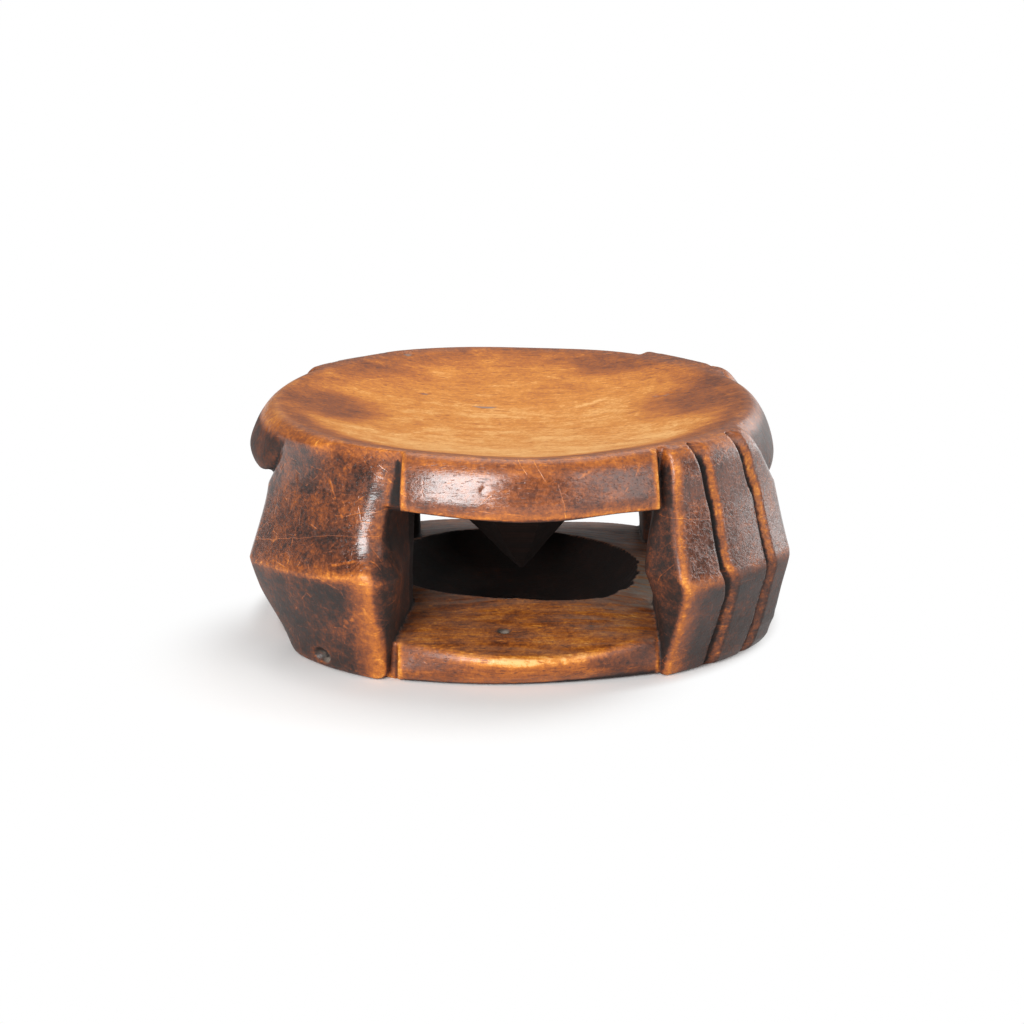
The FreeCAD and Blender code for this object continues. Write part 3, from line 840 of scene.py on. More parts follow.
def paint(mesh):
    """Lays what wear and smoke did on the block, and painted light and shade, as numbers that ride on its
    face corners.
    """
    points, normals, corners = mesh_arrays(mesh)
    x, y, z = points.T
    radius = np.hypot(x, y)
    up = normals[:, 2]
    out = (normals[:, 0] * x + normals[:, 1] * y) / (radius + 1.0)
    outer = smooth_step(0.2, 0.5, out)
    proud = relief(mesh, points, normals, 10)
    broad = relief(mesh, points, normals, 60)
    wear = np.maximum(smooth_step(0.15, 0.75, proud), 0.6 * smooth_step(0.5, 2.2, broad))
    hollow = np.maximum(smooth_step(0.15, 0.9, -proud), 0.6 * smooth_step(0.5, 2.0, -broad))
    groove = read_all(mesh.attributes[GROOVE].data, "value")
    mesh.attributes.remove(mesh.attributes[GROOVE])
    layers = {name: np.full(len(points), value) for name, value in BARE_SKIN.items()}

    def lay(share, **values):
        for name, value in values.items():
            layers[name] += (value - layers[name]) * share

    seat_half = z > 0.5 * (SEAT_TOP + SEAT_UNDERSIDE) - 14.0
    base_half = z < BASE_TOP + 4.0
    dish = seat_half * smooth_step(0.35, 0.8, up) * fade(140.0, 150.0, radius)
    front = smooth_step(10.0, 40.0, -y - np.abs(x) + 60.0)
    # Inside of the stool and the flanks of the legs darker as painted shade, then the hole and the undersides
    # that face down, painted near black as shade
    lay(fade(120.0, 145.0, radius), tone=0.2, gloss=0.25)
    lay(smooth_step(132.0, 142.0, radius) * (1.0 - outer), tone=0.17, gloss=0.3, patchy=1.0)
    inward = smooth_step(0.05, 0.4, -out) * (radius < 100.0) * (z < SEAT_UNDERSIDE)
    shade_in_hole_and_under = np.maximum(inward, smooth_step(0.6, 0.95, -up) * (z > 60.0))
    hollow *= 1.0 - 0.7 * dish
    # Seat: apron, dish and the crest between them
    apron = seat_half * outer * (1.0 - dish)
    side_apron, front_apron = apron * sideways_share(x, y), apron * front
    lay(apron, tone=0.27, gloss=0.9, wrinkle=0.6, patchy=0.7)
    lay(side_apron, tone=0.22, gloss=0.35 + 0.15 * (x > 0.0))
    lay(front_apron, tone=0.47, gloss=1.0, wrinkle=0.3)
    lay(front_apron * smooth_step(-10.0, -40.0, x), tone=0.36)
    lay(front_apron * smooth_step(32.0, 46.0, x), tone=0.36, gloss=0.85, wrinkle=0.6)
    lay(front_apron * fade(101.0, 111.0, z), tone=0.6, gloss=0.5)
    lay(dish, tone=0.87, gloss=0.38, grain=0.8, patchy=0.45, wrinkle=0.1)
    # The back of the dish darker and its front lighter: painted shade and painted light
    lay(dish * smooth_step(20.0, 110.0, y), tone=0.78)
    lay(dish * smooth_step(-10.0, -90.0, y), tone=0.92)
    lay(dish * smooth_step(108.0, 140.0, radius), tone=0.64, patchy=0.6)
    front_rim = smooth_step(-10.0, -60.0, y - 0.5 * np.abs(x + 90.0))
    lay(dish * smooth_step(118.0, 134.0, radius) * front_rim, tone=0.55)
    for centre, size, strength, changes in DISH_STAINS:
        lay(dish * spot(points, centre, size) * strength, **changes)
    crest = seat_half * smooth_step(136.0, 143.0, radius) * smooth_step(SEAT_TOP - 11.0, SEAT_TOP - 4.0, z)
    lay(crest, tone=0.52, gloss=0.65, flecks=0.5)
    lay(crest * smooth_step(-80.0, -125.0, x) * smooth_step(70.0, 50.0, np.abs(y)), tone=0.68)
    # Base: ring, kerb, the painted shade under its foot, and the worn sill with a painted highlight on its
    # edge
    ring = base_half * smooth_step(0.5, 0.8, up) * (radius > 66.0)
    lay(ring, tone=0.44, gloss=0.45, grain=1.0, patchy=0.9, dust=0.5)
    lay(ring * smooth_step(64.0, 84.0, np.abs(y)) * front, tone=0.6, gloss=0.5, dust=0.2)
    for centre, size, strength, changes in RING_STAINS_AND_LIGHT:
        lay(ring * spot(points, centre, size) * strength, **changes)
    kerb = base_half * outer
    lay(kerb, tone=0.57, gloss=0.55, grain=1.0, patchy=0.6, flecks=0.25)
    ragged = x + 4.0 * np.sin(0.5 * z + 0.6) + 2.0 * np.sin(1.3 * z)
    lay(kerb * smooth_step(-18.0, -46.0, ragged), tone=0.42, grain=0.5)
    lay(kerb * smooth_step(38.0, 54.0, ragged), tone=0.33, grain=0.5)
    # Painted contact shadow along the foot of the kerb in front, taller towards the right
    contact_shade_height = 1.5 + 2.5 * smooth_step(0.0, 90.0, x)
    lay(kerb * front * fade(0.6 * contact_shade_height, 1.5 * contact_shade_height, z), tone=0.0, gloss=0.0, flecks=0.0)
    # The front edge of the sill pale: worn, and a painted highlight along it
    sill = base_half * front * (radius > 130.0) * smooth_step(0.2, 0.5, proud)
    lay(sill * fade(35.0, 75.0, np.abs(x - 5.0)), tone=0.8, gloss=0.8)
    # Legs: plain or ribbed faces, with gold on the knees and the front arrises
    for leg in LEGS.values():
        plan = WALLS[leg["plan"]]
        across, deep, lateral = in_corner(leg, x, y)
        from_front = lateral + wall_offset(plan, "front", z)
        to_side = wall_offset(plan, "side", z) - lateral
        face = smooth_step(0.0, 2.0, from_front) * (to_side > -1.0) * (across + deep > 0.0) * outer
        face *= (1.0 - dish) * (1.0 - crest)
        knee = 60.5 + knee_lift(leg["plan"], lateral, z)
        above = smooth_step(-3.0, 5.0, z - knee)
        below = 1.0 - above
        knee_band = np.exp(-((z - knee) / 4.0) ** 2)
        past_end = across - np.where(seat_half, wall_offset(plan, "apron_end", z), plan["kerb_end"])
        lay((apron + kerb) * front * np.exp(-((past_end + 0.8) / 1.3) ** 2), tone=0.64, gloss=0.5)
        # Painted shade: the V between a leg and the end of the apron or the kerb, near black
        v_shade = (seat_half | base_half) * (deep > across) * (1.0 - dish) * (z < SEAT_TOP - 5.0)
        v_shade = v_shade * smooth_step(0.0, 1.5, past_end) * smooth_step(1.0, -0.5, from_front)
        lay(v_shade, tone=0.06, gloss=0.1)
        lay(face, tone=0.35, gloss=0.85, grain=0.3, patchy=1.0, wrinkle=0.35, dust=0.0, flecks=0.15)
        lay(face * below, tone=0.21, gloss=0.5)
        if leg["ribbed"]:
            lay(face, tone=0.32, gloss=0.95, crackle=1.0, wrinkle=0.5, patchy=0.6, flecks=0.3)
            lay(face * below, tone=0.14, gloss=0.5, crackle=0.6)
            lay(face * above * fade(3.0, 8.0, from_front), tone=0.58, flecks=0.6, wrinkle=0.2, gloss=0.5)
            lay(face * below * fade(3.0, 20.0, from_front), tone=0.53, flecks=0.6, crackle=0.3)
            rubbed = 1.0 - 0.65 * smooth_step(10.0, 45.0, from_front)
            lay(face * knee_band * rubbed, tone=0.6, flecks=0.7)
            wear = wear * (1.0 - 0.85 * face * smooth_step(6.0, 12.0, from_front))
        else:
            lay(face * below * fade(5.0, 22.0, from_front), tone=0.57, flecks=0.5, patchy=0.6)
            rubbed = 1.0 - 0.6 * smooth_step(10.0, 80.0, from_front)
            lay(face * knee_band * rubbed, tone=0.6, flecks=0.8)
            lay(face * above * fade(12.0, 34.0, from_front), tone=0.33, gloss=1.0)
            lay(face * above * fade(2.0, 7.0, from_front), tone=0.42, gloss=0.5)
        slope, wall = smooth_step(0.05, 0.3, groove) * face, smooth_step(0.05, 0.4, -groove) * face
        lay(slope, tone=0.61, gloss=0.5, wrinkle=0.3, crackle=0.2, patchy=0.9)
        # Below the knee the slopes darker, as painted shade; the steep wall and the deepest part of each
        # slope near black, as grime and painted shade in the groove
        lay(slope * below * 0.6, tone=0.2)
        lay(np.maximum(wall, slope * smooth_step(0.6, 0.68, groove)), tone=0.05, gloss=0.1, wrinkle=0.0)
    # Painted shade: the inside of the hole and the undersides that face down, near black
    lay(shade_in_hole_and_under, tone=0.05, gloss=0.0, wrinkle=0.0, grain=0.3, dust=0.0, patchy=0.3)
    # Old hurts: near black in the base, as grime and the painted shade in the pits; dusty in the dish
    for centre, half, _ in SCARS.values():
        scar = scar_share(x, y, z, centre, half)
        lay(scar * (1.0 - dish), tone=0.3 - 0.27 * base_half, dust=0.3 * base_half, gloss=0.6)
        lay(scar * dish, tone=0.5, dust=1.5, gloss=0.5)
        inner = [0.65 * size for size in half]
        filled = scar_share(x - 0.25 * half[0], y, z + 0.3 * half[2], centre, inner)
        lay(filled * base_half, dust=1.5)
    # Hollows darker and duller: grime, and painted shade in the creases
    layers["tone"] -= 0.26 * hollow
    layers["gloss"] -= 0.2 * hollow
    layers["wear"] = wear * ((1.0 - 0.8 * side_apron) * (1.0 - 0.5 * crest)) * (1.0 - shade_in_hole_and_under)
    channels = {name: np.stack([layers[part] for part in parts], axis=1) for name, parts in LAYERS.items()}
    for name, values in {**channels, CARVED_NORMAL: normals}.items():
        layer = mesh.attributes.new(name, "FLOAT_VECTOR", "CORNER")
        layer.data.foreach_set("vector", values[corners].astype(np.float32).ravel())


def restore_normals(mesh):
    """Gives a parted mesh the normals of the whole block, so that no parting line shows in the shine."""
    carved = read_all(mesh.attributes[CARVED_NORMAL].data, "vector", 3)
    sizes = read_all(mesh.polygons, "loop_total", kind=np.int32)
    flat = np.repeat(read_all(mesh.polygon_normals, "vector", 3), sizes, axis=0)
    length_of = np.linalg.norm(carved, axis=1, keepdims=True)
    chosen = np.where(length_of > 0.5, carved / np.maximum(length_of, 1e-6), flat)
    mesh.shade_smooth()
    mesh.normals_split_custom_set(chosen.tolist())
    mesh.attributes.remove(mesh.attributes[CARVED_NORMAL])


# Parting: closed cutters that are boxed on the lines that the carver cut
# The sky, the cellar and the wide reach lie well outside the block, and so do an envelope's ends and reach

SKY = SEAT_TOP + 40.0
CELLAR = -20.0
WIDE = 400.0
ENVELOPE_ENDS = {-9.0, 160.0}
ENVELOPE_REACH = 70.0


def loft(sections):
    """A closed bmesh through plan outlines at rising heights, in millimetres."""
    made = bmesh.new()
    rings = [[made.verts.new(Vector((x, y, z)) * MM) for x, y in outline] for z, outline in sections]
    for low, high in zip(rings, rings[1:]):
        for n, corner in enumerate(low):
            made.faces.new((low[n - 1], corner, high[n], high[n - 1]))
    for cap in (rings[0], rings[-1]):
        made.faces.new(cap)
    bmesh.ops.recalc_face_normals(made, faces=made.faces)
    return made


def drum(radius, low, high):
    """A closed round cutter."""
    return loft([(z, ring_outline(radius)) for z in (low, high)])


def ring_outline(radius, sides=256):
    """A round plan outline."""
    return [(radius * math.cos(2 * math.pi * n / sides), radius * math.sin(2 * math.pi * n / sides))
            for n in range(sides)]


def leg_plan(leg, z):
    """Plan outline of a leg's share of the block at a height, with its walls and flanks moved outwards."""
    plan = WALLS[leg["plan"]]
    inner = np.array(plan["inner"]) - FILLET_REACH
    offsets = -wall_offset(plan, "front", z) - WALL_REACH, wall_offset(plan, "side", z) + WALL_REACH
    front, side = (np.array(mouth_point(offset)) for offset in offsets)
    out = ENVELOPE_REACH * np.array((1.0, 1.0)) / math.sqrt(2)
    outline = (inner, front, front + out, side + out, side)
    return [(x * leg["corner"][0], y * leg["corner"][1]) for x, y in outline]


def leg_envelope(leg):
    """A closed shape that holds one leg from below the floor to above the crest."""
    plan = WALLS[leg["plan"]]
    bends = {height for wall in ("front", "side") for height, _ in plan[wall]}
    return loft([(z, leg_plan(leg, z)) for z in sorted(ENVELOPE_ENDS | bends)])


def cutter(name, made):
    """A mesh object for a bmesh, used as the tool of a cut."""
    mesh = bpy.data.meshes.new(name)
    made.to_mesh(mesh)
    made.free()
    return place(name, mesh)


def cut(mesh, name, steps):
    """Cuts a mesh by (operation, bmesh) steps, one after another, and gives the new mesh."""
    for operation, tool_shape in steps:
        body = place(name, mesh)
        tool = cutter(name + "_tool", tool_shape)
        boolean = body.modifiers.new("cut", "BOOLEAN")
        boolean.operation = operation
        boolean.solver = "MANIFOLD"
        boolean.object = tool
        mesh = evaluated_mesh(body)
        bpy.data.meshes.remove(tool.data)
        if not len(mesh.polygons):
            raise RuntimeError(f"cutting {name} left nothing")
    return mesh


def trimmed(made, tool):
    """One cutter less another, as a bmesh."""
    mesh = bpy.data.meshes.new("cutter")
    made.to_mesh(mesh)
    made.free()
    rest = cut(mesh, "cutter", [("DIFFERENCE", tool)])
    result = bmesh.new()
    result.from_mesh(rest)
    bpy.data.meshes.remove(rest)
    return result


def leg_share(leg):
    """Steps that leave one leg of the block."""
    return [("INTERSECT", leg_envelope(leg)),
            ("DIFFERENCE", drum(SEAT_CORE_RADIUS, LEG_SEAT_CUT, SKY)),
            ("DIFFERENCE", drum(BASE_CORE_RADIUS, CELLAR, LEG_BASE_CUT))]


def notches(core_radius, low, high):
    """Steps that take the legs' shares away, apart from what lies in a round core."""
    core = core_radius, low, high
    return [("DIFFERENCE", trimmed(leg_envelope(leg), drum(*core))) for leg in LEGS.values()]


def seat_share():
    """Steps that leave the seat: all above its underside, notched for the legs."""
    above = drum(WIDE, LEG_SEAT_CUT, SKY)
    return [("INTERSECT", above), *notches(SEAT_CORE_RADIUS, CELLAR, SKY)]


def base_share():
    """Steps that leave the base: all below the seat that no leg takes."""
    below = drum(WIDE, CELLAR, LEG_SEAT_CUT)
    return [("INTERSECT", below), *notches(BASE_CORE_RADIUS, CELLAR, LEG_BASE_CUT)]


def finish_piece(mesh, node, material):
    """Puts a finished mesh in the scene in place of its frame node."""
    if CARVED_NORMAL in mesh.attributes:
        restore_normals(mesh)
    mesh.materials.clear()
    mesh.materials.append(material)
    piece = place(mesh.name, mesh)
    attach(piece, "root")
    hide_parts(node)


def new_material(name):
    """A material, its tree, its shader, and the place on the stool that its pattern follows."""
    made = bpy.data.materials.new(name)
    made.use_nodes = True
    tree = made.node_tree
    return made, tree, tree.nodes["Principled BSDF"], add(tree, "ShaderNodeTexCoord").outputs["Object"]


def pattern_place(tree, place_at, size_mm, stretch=(1, 1, 1), lean=(0, 0, 0)):
    """Coordinates in which one unit is the given size on the wood."""
    return add(tree, "ShaderNodeMapping", {
        "Vector": place_at, "Rotation": lean, "Scale": [s / (size_mm * MM) for s in stretch]}).outputs[0]


def painted_layer(tree, name):
    """The three numbers of a layer that rides on the wood."""
    layer = add(tree, "ShaderNodeAttribute", attribute_name=name).outputs["Vector"]
    return add(tree, "ShaderNodeSeparateXYZ", {0: layer}).outputs


def stain_ramp(tree, level, stops):
    """The colour at a level, between stops that each have a level and a colour."""
    ramp = add(tree, "ShaderNodeValToRGB", {0: level})
    elements = ramp.color_ramp.elements
    while len(elements) < len(stops):
        elements.new(0.5)
    for element, (at, colour) in zip(elements, stops):
        element.position = at
        element.color = (*colour, 1.0)
    return ramp.outputs["Color"]


def score_line(tree, place_at, sway, start, end):
    """One long thin scratch on the outside of the stool: its share at a place, on a line that sways."""
    maths = partial(number_maths, tree)
    start, end = Vector(start) * MM, Vector(end) * MM
    middle, along = (start + end) / 2, (end - start).normalized()
    outward = Vector((middle.x, middle.y, 0.0)).normalized()
    local = vector_maths(tree, "SUBTRACT", place_at, middle)

    def reach(direction):
        return vector_maths(tree, "DOT_PRODUCT", local, direction, "Value")

    aside = maths("ABSOLUTE", maths("ADD", reach(along.cross(outward)), sway))
    between = maths("LESS_THAN", maths("ABSOLUTE", reach(along)), (end - start).length / 2)
    outside = maths("GREATER_THAN", reach(outward), -12.0 * MM)
    thin = remap(tree, aside, 0.1 * MM, 0.32 * MM, 0.55, 0.0)
    return maths("MULTIPLY", thin, maths("MULTIPLY", between, outside))


def handled_hardwood(finish):
    """Hardwood that hands have oiled for decades.

    To the eye: honey wood where clothes polish it, a dark glossy skin of grease and smoke elsewhere, gold
    where edges rub bare, fine grain along the length of the log, pores, scratches and a crackled skin.
    """
    name = "handled_hardwood_oiled_patina"
    if name in bpy.data.materials:
        return bpy.data.materials[name]
    made, tree, shader, place_at = new_material(name)
    maths, ranged = partial(number_maths, tree), partial(remap, tree)
    times, larger = partial(maths, "MULTIPLY"), partial(maths, "MAXIMUM")
    tone, wear, gloss = painted_layer(tree, "paint")
    grain_share, crackle_share, patchy = painted_layer(tree, "marks")
    dust_share, wrinkle_share, fleck_and_glint_share = painted_layer(tree, "skin")

    def noise(size_mm, stretch=(1, 1, 1), detail=3.0, roughness=0.6, lean=(0, 0, 0)):
        at = pattern_place(tree, place_at, size_mm, stretch, lean)
        return add(tree, "ShaderNodeTexNoise", {
            "Vector": at, "Scale": 1.0, "Detail": detail, "Roughness": roughness}).outputs["Fac"]

    def cell_edge(at):
        return add(tree, "ShaderNodeTexVoronoi", {"Vector": at, "Scale": 1.0, "Randomness": 1.0},
                   feature="DISTANCE_TO_EDGE").outputs["Distance"]

    def total(*values):
        result = values[0]
        for value in values[1:]:
            result = maths("ADD", result, value)
        return result

    def scratches(size_mm, lean):
        line = cell_edge(pattern_place(tree, place_at, size_mm, (0.12, 1.0, 1.0), lean))
        thin = ranged(line, 0.003, 0.012, 1.0, 0.0)
        return times(thin, ranged(noise(11.0, lean=lean), 0.53, 0.62))

    # Patches, grain along the log, pores, and bright flecks: worn flecks and painted glints
    blotch = ranged(noise(22.0, detail=4.0), 0.3, 0.7, -0.15, 0.15)
    mottle = ranged(noise(6.5, stretch=(0.8, 1, 1), detail=5.0, roughness=0.75), 0.3, 0.7, -0.13, 0.13)
    freckle = ranged(noise(2.2, detail=4.0, roughness=0.75), 0.3, 0.7, -0.18, 0.16)
    patches = times(total(blotch, mottle, freckle), patchy)
    bands = ranged(noise(9.0, stretch=(0.06, 1, 1), detail=2.0), 0.3, 0.7, -0.05, 0.05)
    fibre = ranged(noise(1.3, stretch=(0.03, 1, 1), detail=3.0), 0.3, 0.7, -0.06, 0.06)
    pores = ranged(noise(1.1, stretch=(0.16, 1, 1), detail=1.0), 0.62, 0.7)
    grain = times(maths("ADD", bands, fibre), grain_share)
    pore_depth = times(pores, times(grain_share, -0.2))
    flecks = times(ranged(noise(1.7, stretch=(0.4, 0.4, 1), detail=3.0), 0.55, 0.68), fleck_and_glint_share)
    flecks = times(flecks, ranged(noise(9.0, detail=2.0), 0.38, 0.6))
    # Crackle in the skin of the ribs
    cells = pattern_place(tree, place_at, 3.6)
    bent = add(tree, "ShaderNodeTexNoise", {"Vector": cells, "Scale": 1.3, "Detail": 2.0})
    cracks = cell_edge(vector_maths(tree, "ADD", cells, bent.outputs["Color"]))
    crackle = times(ranged(cracks, 0.02, 0.09, 1.0, 0.0), crackle_share)
    crackle = times(crackle, ranged(noise(10.0), 0.4, 0.58))
    # Scratches: coarse ones, finer ones, and the long ones that have their own places
    scratch = larger(scratches(24.0, (0.3, 0.5, 0.9)), scratches(30.0, (1.1, -0.7, -0.4)))
    for size_mm, lean in ((11.0, (0.8, 0.2, -0.5)), (13.0, (-0.4, 1.0, 0.3))):
        scratch = larger(scratch, times(scratches(size_mm, lean), 0.6))
    scratch = times(scratch, times(patchy, 0.7))
    sway = ranged(noise(18.0), 0.3, 0.7, -0.9 * MM, 0.9 * MM)
    for start, end in SCORES:
        scratch = larger(scratch, score_line(tree, place_at, sway, start, end))
    # Colour: how bare the wood is picks the stain, and dust lies over it in streaks
    rub = times(wear, ranged(noise(3.0, detail=4.0, roughness=0.75), 0.35, 0.62, 0.25, 1.0))
    level = total(tone, patches, grain, pore_depth, times(rub, 0.3), times(flecks, 0.3), times(scratch, 0.35),
                  times(crackle, 0.12))
    stops = ((0.0, finish.soot_and_shade), (0.16, finish.bark), (0.34, finish.russet), (0.5, finish.chestnut),
             (0.68, finish.amber), (0.84, finish.honey), (1.0, finish.gold))
    streaks = ranged(noise(5.0, stretch=(0.15, 1, 1), detail=3.0), 0.35, 0.65)
    dusty = add(tree, "ShaderNodeMix", {
        "Factor": times(dust_share, streaks), 6: stain_ramp(tree, level, stops), 7: (*finish.dust, 1.0)},
        data_type="RGBA")
    # Shine and relief
    rough = total(ranged(gloss, 0.0, 1.0, 0.9, 0.26), ranged(noise(2.2, detail=3.0), 0.3, 0.7, -0.06, 0.06),
                  times(rub, 0.1), times(crackle, 0.2))
    skin = noise(2.6, stretch=(0.6, 1, 1), detail=3.0, roughness=0.55)
    uneven = ranged(noise(7.0, detail=2.0), 0.35, 0.65, 0.3, 1.7)
    wrinkles = times(noise(1.3, detail=4.0, roughness=0.65), times(wrinkle_share, uneven))
    height = total(times(skin, 0.5), wrinkles, times(fibre, 2.0), times(pores, -0.5), times(scratch, -0.8),
                   times(crackle, -1.3))
    bump = add(tree, "ShaderNodeBump", {"Height": height, "Strength": 0.5, "Distance": 0.35 * MM})
    tree.links.new(dusty.outputs[2], shader.inputs["Base Color"])
    tree.links.new(rough, shader.inputs["Roughness"])
    tree.links.new(ranged(gloss, 0.4, 1.0, 0.0, 0.8), shader.inputs["Coat Weight"])
    for socket in ("Normal", "Coat Normal"):
        tree.links.new(bump.outputs[0], shader.inputs[socket])
    shader.inputs["IOR"].default_value = 1.5
    shader.inputs["Coat Roughness"].default_value = 0.14
    return made


def smoked_hardwood(finish):
    """Hardwood under a seat, hewn and never rubbed: dark with smoke, dull, with the grain just showing."""
    name = "smoked_hardwood_hewn"
    if name in bpy.data.materials:
        return bpy.data.materials[name]
    made, tree, shader, place_at = new_material(name)
    along = pattern_place(tree, place_at, 1.5, (0.05, 1.0, 1.0))
    grain = add(tree, "ShaderNodeTexNoise", {"Vector": along, "Scale": 1.0, "Detail": 3.0}).outputs["Fac"]
    colour = stain_ramp(tree, grain, ((0.35, finish.soot_and_shade), (0.9, finish.bark)))
    bump = add(tree, "ShaderNodeBump", {"Height": grain, "Strength": 0.4, "Distance": 0.4 * MM})
    tree.links.new(colour, shader.inputs["Base Color"])
    tree.links.new(bump.outputs[0], shader.inputs["Normal"])
    shader.inputs["Roughness"].default_value = 0.85
    shader.inputs["IOR"].default_value = 1.4
    return made


# Soft boxes: place, width and depth in metres, and the share of full white that each gives a facing surface
LAMPS = {
    "front_left_box": ((-0.56, -1.3, 0.6), 0.75, 0.9, 1.0),
    "front_right_fill": ((0.95, -0.95, 0.5), 0.8, 0.8, 0.28),
    "right_box": ((1.12, 0.68, 0.5), 1.4, 0.8, 0.52),
    "top_box": ((0.05, 0.55, 1.45), 1.3, 1.3, 0.5),
}
LAMP_AIM = Vector((0.0, 0.0, 0.07))
STOOL_MIDDLE = Vector((0.0, 0.0, 0.066))

# The floor's reach, and where it keeps its shadow: centres, and how far from each it turns plain white. The
# shadow lies to the left and to the front, and close under the base.
FLOOR_REACH = 8.0
FLOOR_SHADOWS = (((-0.06, -0.1, 0.0), 0.1, 0.175), ((0.0, 0.0, 0.0), 0.15, 0.165))


def looked_at(tree):
    """1 where the camera sees a point straight, in a shine or through glass, and 0 where it only lights."""
    ray = add(tree, "ShaderNodeLightPath").outputs
    larger = partial(number_maths, tree, "MAXIMUM")
    return larger(larger(ray["Is Camera Ray"], ray["Is Glossy Ray"]), ray["Is Transmission Ray"])


def studio_world(stage):
    """An even pale room all round."""
    world = bpy.data.worlds.new("studio")
    world.use_nodes = True
    background = world.node_tree.nodes["Background"]
    background.inputs["Color"].default_value = (1.0, 1.0, 1.0, 1.0)
    background.inputs["Strength"].default_value = stage.room_light
    return world


def studio_floor(finish):
    """A wide pale floor that turns plain white well away from the stool."""
    mesh = bpy.data.meshes.new("floor")
    corners = [(FLOOR_REACH * x, FLOOR_REACH * y, 0.0) for x, y in ((-1, -1), (1, -1), (1, 1), (-1, 1))]
    mesh.from_pydata(corners, [], [(0, 1, 2, 3)])
    made, tree, shader, place_at = new_material("matt_paper")
    shader.inputs["Base Color"].default_value = (*finish.floor, 1.0)
    shader.inputs["Roughness"].default_value = 0.9
    shader.inputs["Specular IOR Level"].default_value = 0.0
    share = looked_at(tree)
    for centre, start, end in FLOOR_SHADOWS:
        away = vector_maths(tree, "DISTANCE", place_at, centre, "Value")
        far = remap(tree, away, start, end, ease="SMOOTHSTEP")
        share = number_maths(tree, "MULTIPLY", far, share)
    white = add(tree, "ShaderNodeEmission", {"Color": (1.0, 1.0, 1.0, 1.0), "Strength": 1.0})
    mixed = add(tree, "ShaderNodeMixShader", {0: share, 1: shader.outputs[0], 2: white.outputs[0]})
    tree.links.new(mixed.outputs[0], tree.nodes["Material Output"].inputs["Surface"])
    mesh.materials.append(made)
    return mesh


def aimed(name, data, place_at, target):
    """A lamp or a camera at a place, turned to a target."""
    made = place(name, data)
    made.location = place_at
    made.rotation_mode = "QUATERNION"
    made.rotation_quaternion = (target - made.location).to_track_quat("-Z", "Y")
    return made


class STOOL_OT_block(bpy.types.Operator):
    """Carve the whole block, with its ribs, wear and nicks"""

    bl_idname = "stool.block"
    bl_label = "Carve the block"

    def execute(self, context):
        shape = context.scene.stool_shape
        wood = handled_hardwood(context.scene.stool_finish)
        mesh = mesh_from(BLOCK, *carve_block(shape))
        ribs = rib_tree()
        for leg in LEGS.values():
            if not leg["ribbed"]:
                continue
            paths = groove_paths(leg)
            across = Vector((leg["corner"][0], -leg["corner"][1], 0.0)).normalized()
            mesh = run_tree(mesh, ribs, {
                "Paths": paths, "Across": across, "Slope width": shape.groove_slope,
                "Wall width": shape.groove_wall, "Depth": shape.groove_depth,
                "Snap": GROOVE_SNAP * shape.grid_step, "Wood": wood})
            bpy.data.objects.remove(paths)
        mesh = run_tree(mesh, nick_tree(), {
            "Per square metre": shape.nicks_per_square_metre, "Radius": shape.nick_radius,
            "Depth": shape.nick_depth, "Seed": shape.nick_seed, "Wood": wood})
        paint(mesh)
        mesh.name = BLOCK
        mesh.use_fake_user = True
        return {"FINISHED"}


class STOOL_OT_seat(bpy.types.Operator):
    """Part the dished seat from the block"""

    bl_idname = "stool.seat"
    bl_label = "Part the seat"

    def execute(self, context):
        mesh = cut(bpy.data.meshes[BLOCK], "seat_carved", seat_share())
        finish_piece(mesh, "seat", handled_hardwood(context.scene.stool_finish))
        return {"FINISHED"}


class STOOL_OT_base(bpy.types.Operator):
    """Part the pierced base from the block"""

    bl_idname = "stool.base"
    bl_label = "Part the base"

    def execute(self, context):
        mesh = cut(bpy.data.meshes[BLOCK], "base_carved", base_share())
        finish_piece(mesh, "base", handled_hardwood(context.scene.stool_finish))
        return {"FINISHED"}


class STOOL_OT_legs(bpy.types.Operator):
    """Part the four bent legs from the block"""

    bl_idname = "stool.legs"
    bl_label = "Part the legs"

    def execute(self, context):
        wood = handled_hardwood(context.scene.stool_finish)
        for node, leg in LEGS.items():
            mesh = cut(bpy.data.meshes[BLOCK], node + "_carved", leg_share(leg))
            finish_piece(mesh, node, wood)
        return {"FINISHED"}


class STOOL_OT_pendant(bpy.types.Operator):
    """Hew the faceted pendant under the seat"""

    bl_idname = "stool.pendant"
    bl_label = "Hew the pendant"

    def execute(self, context):
        top, tip = SEAT_UNDERSIDE + PENDANT_LET_IN, PENDANT_LOW[2]
        wood = smoked_hardwood(context.scene.stool_finish)
        mesh = run_tree(bpy.data.meshes.new("pendant_carved"), pendant_tree(), {
            "Sides": PENDANT_SIDES, "Flat radius": PENDANT_SHARE * PENDANT_HIGH[1] * MM,
            "Length": (top - tip) * MM, "Top": top * MM, "Lean": PENDANT_LEAN,
            "Tool marks": PENDANT_ROUGHNESS * MM, "Wood": wood})
        finish_piece(mesh, "pendant", wood)
        return {"FINISHED"}


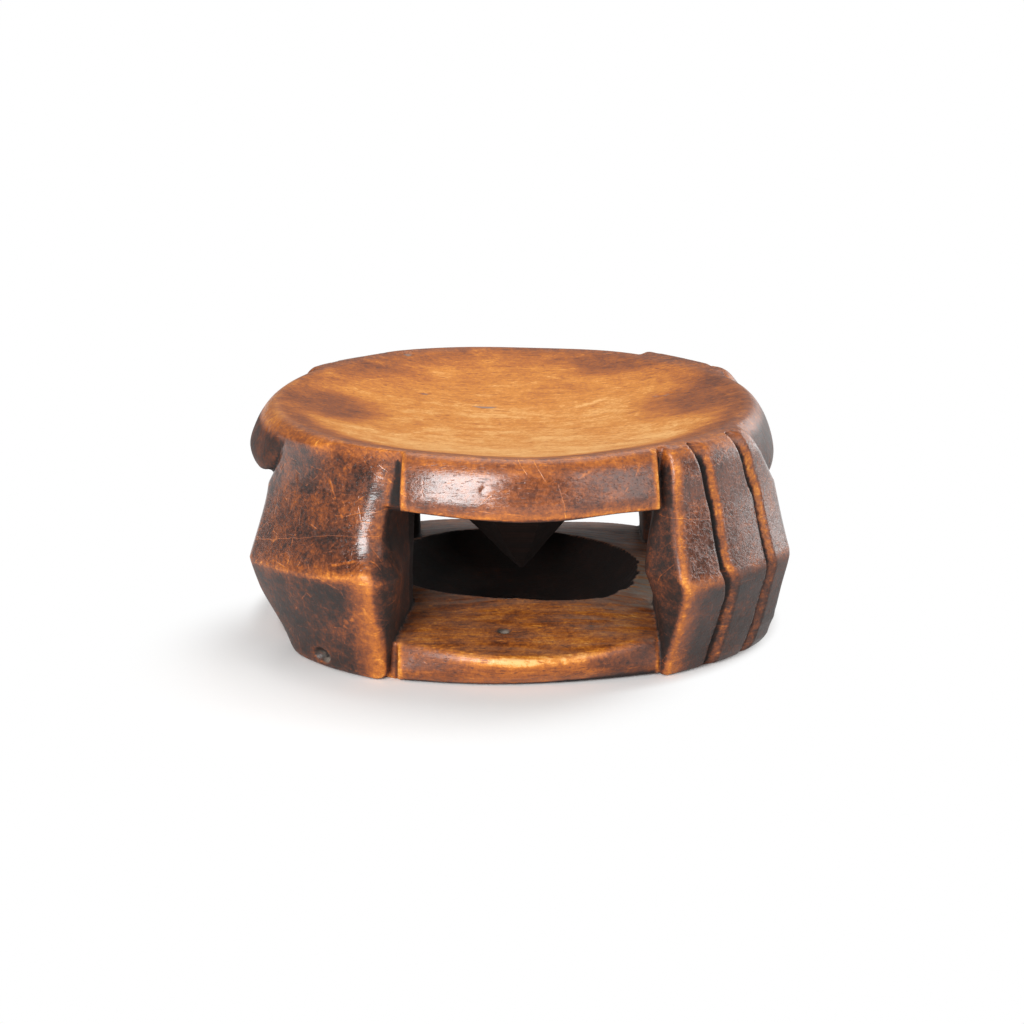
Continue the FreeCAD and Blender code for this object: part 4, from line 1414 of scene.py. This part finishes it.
class STOOL_OT_stage(bpy.types.Operator):
    """Set the floor, the soft light and the camera"""

    bl_idname = "stool.stage"
    bl_label = "Set the stage"

    def execute(self, context):
        scene = context.scene
        stage = scene.stool_stage
        scene.view_settings.view_transform = "Standard"
        scene.world = studio_world(stage)
        place("floor", studio_floor(scene.stool_finish))
        for name, (place_at, width, depth, share) in LAMPS.items():
            lamp = bpy.data.lights.new(name, "AREA")
            lamp.shape = "RECTANGLE"
            lamp.size, lamp.size_y = width, depth
            lamp.energy = share * math.pi ** 2 * Vector(place_at).length_squared
            aimed(name, lamp, place_at, LAMP_AIM)
        back = Vector((0, -math.cos(stage.elevation), math.sin(stage.elevation)))
        camera = bpy.data.cameras.new("camera")
        camera.lens = stage.lens
        camera.sensor_width = 36.0
        camera.clip_end = 50.0
        stand = STOOL_MIDDLE + back * stage.distance
        scene.camera = aimed("camera", camera, stand, Vector(stage.aim))
        return {"FINISHED"}


class STOOL_PT_panel(bpy.types.Panel):
    """The stool's sizes and the steps that make it"""

    bl_idname = "STOOL_PT_panel"
    bl_label = "Carved stool"
    bl_space_type = "VIEW_3D"
    bl_region_type = "UI"
    bl_category = "Stool"

    def draw(self, context):
        for group_name in GROUPS:
            group = getattr(context.scene, group_name)
            for name in group.__annotations__:
                self.layout.prop(group, name)
        for operator in OPERATORS:
            self.layout.operator(operator.bl_idname)


GROUPS = {"stool_shape": StoolShape, "stool_finish": StoolFinish, "stool_stage": StoolStage}
OPERATORS = (STOOL_OT_block, STOOL_OT_seat, STOOL_OT_legs, STOOL_OT_base, STOOL_OT_pendant, STOOL_OT_stage)
CLASSES = (*GROUPS.values(), *OPERATORS, STOOL_PT_panel)


def register():
    for made in CLASSES:
        bpy.utils.register_class(made)
    for name, group in GROUPS.items():
        setattr(bpy.types.Scene, name, bpy.props.PointerProperty(type=group))


def unregister():
    for name in GROUPS:
        delattr(bpy.types.Scene, name)
    for made in reversed(CLASSES):
        bpy.utils.unregister_class(made)


def main():
    register()
    bpy.ops.stool.block()
    bpy.ops.stool.seat()
    bpy.ops.stool.legs()
    bpy.ops.stool.base()
    bpy.ops.stool.pendant()
    bpy.ops.stool.stage()


if __name__ == "__main__":
    main()
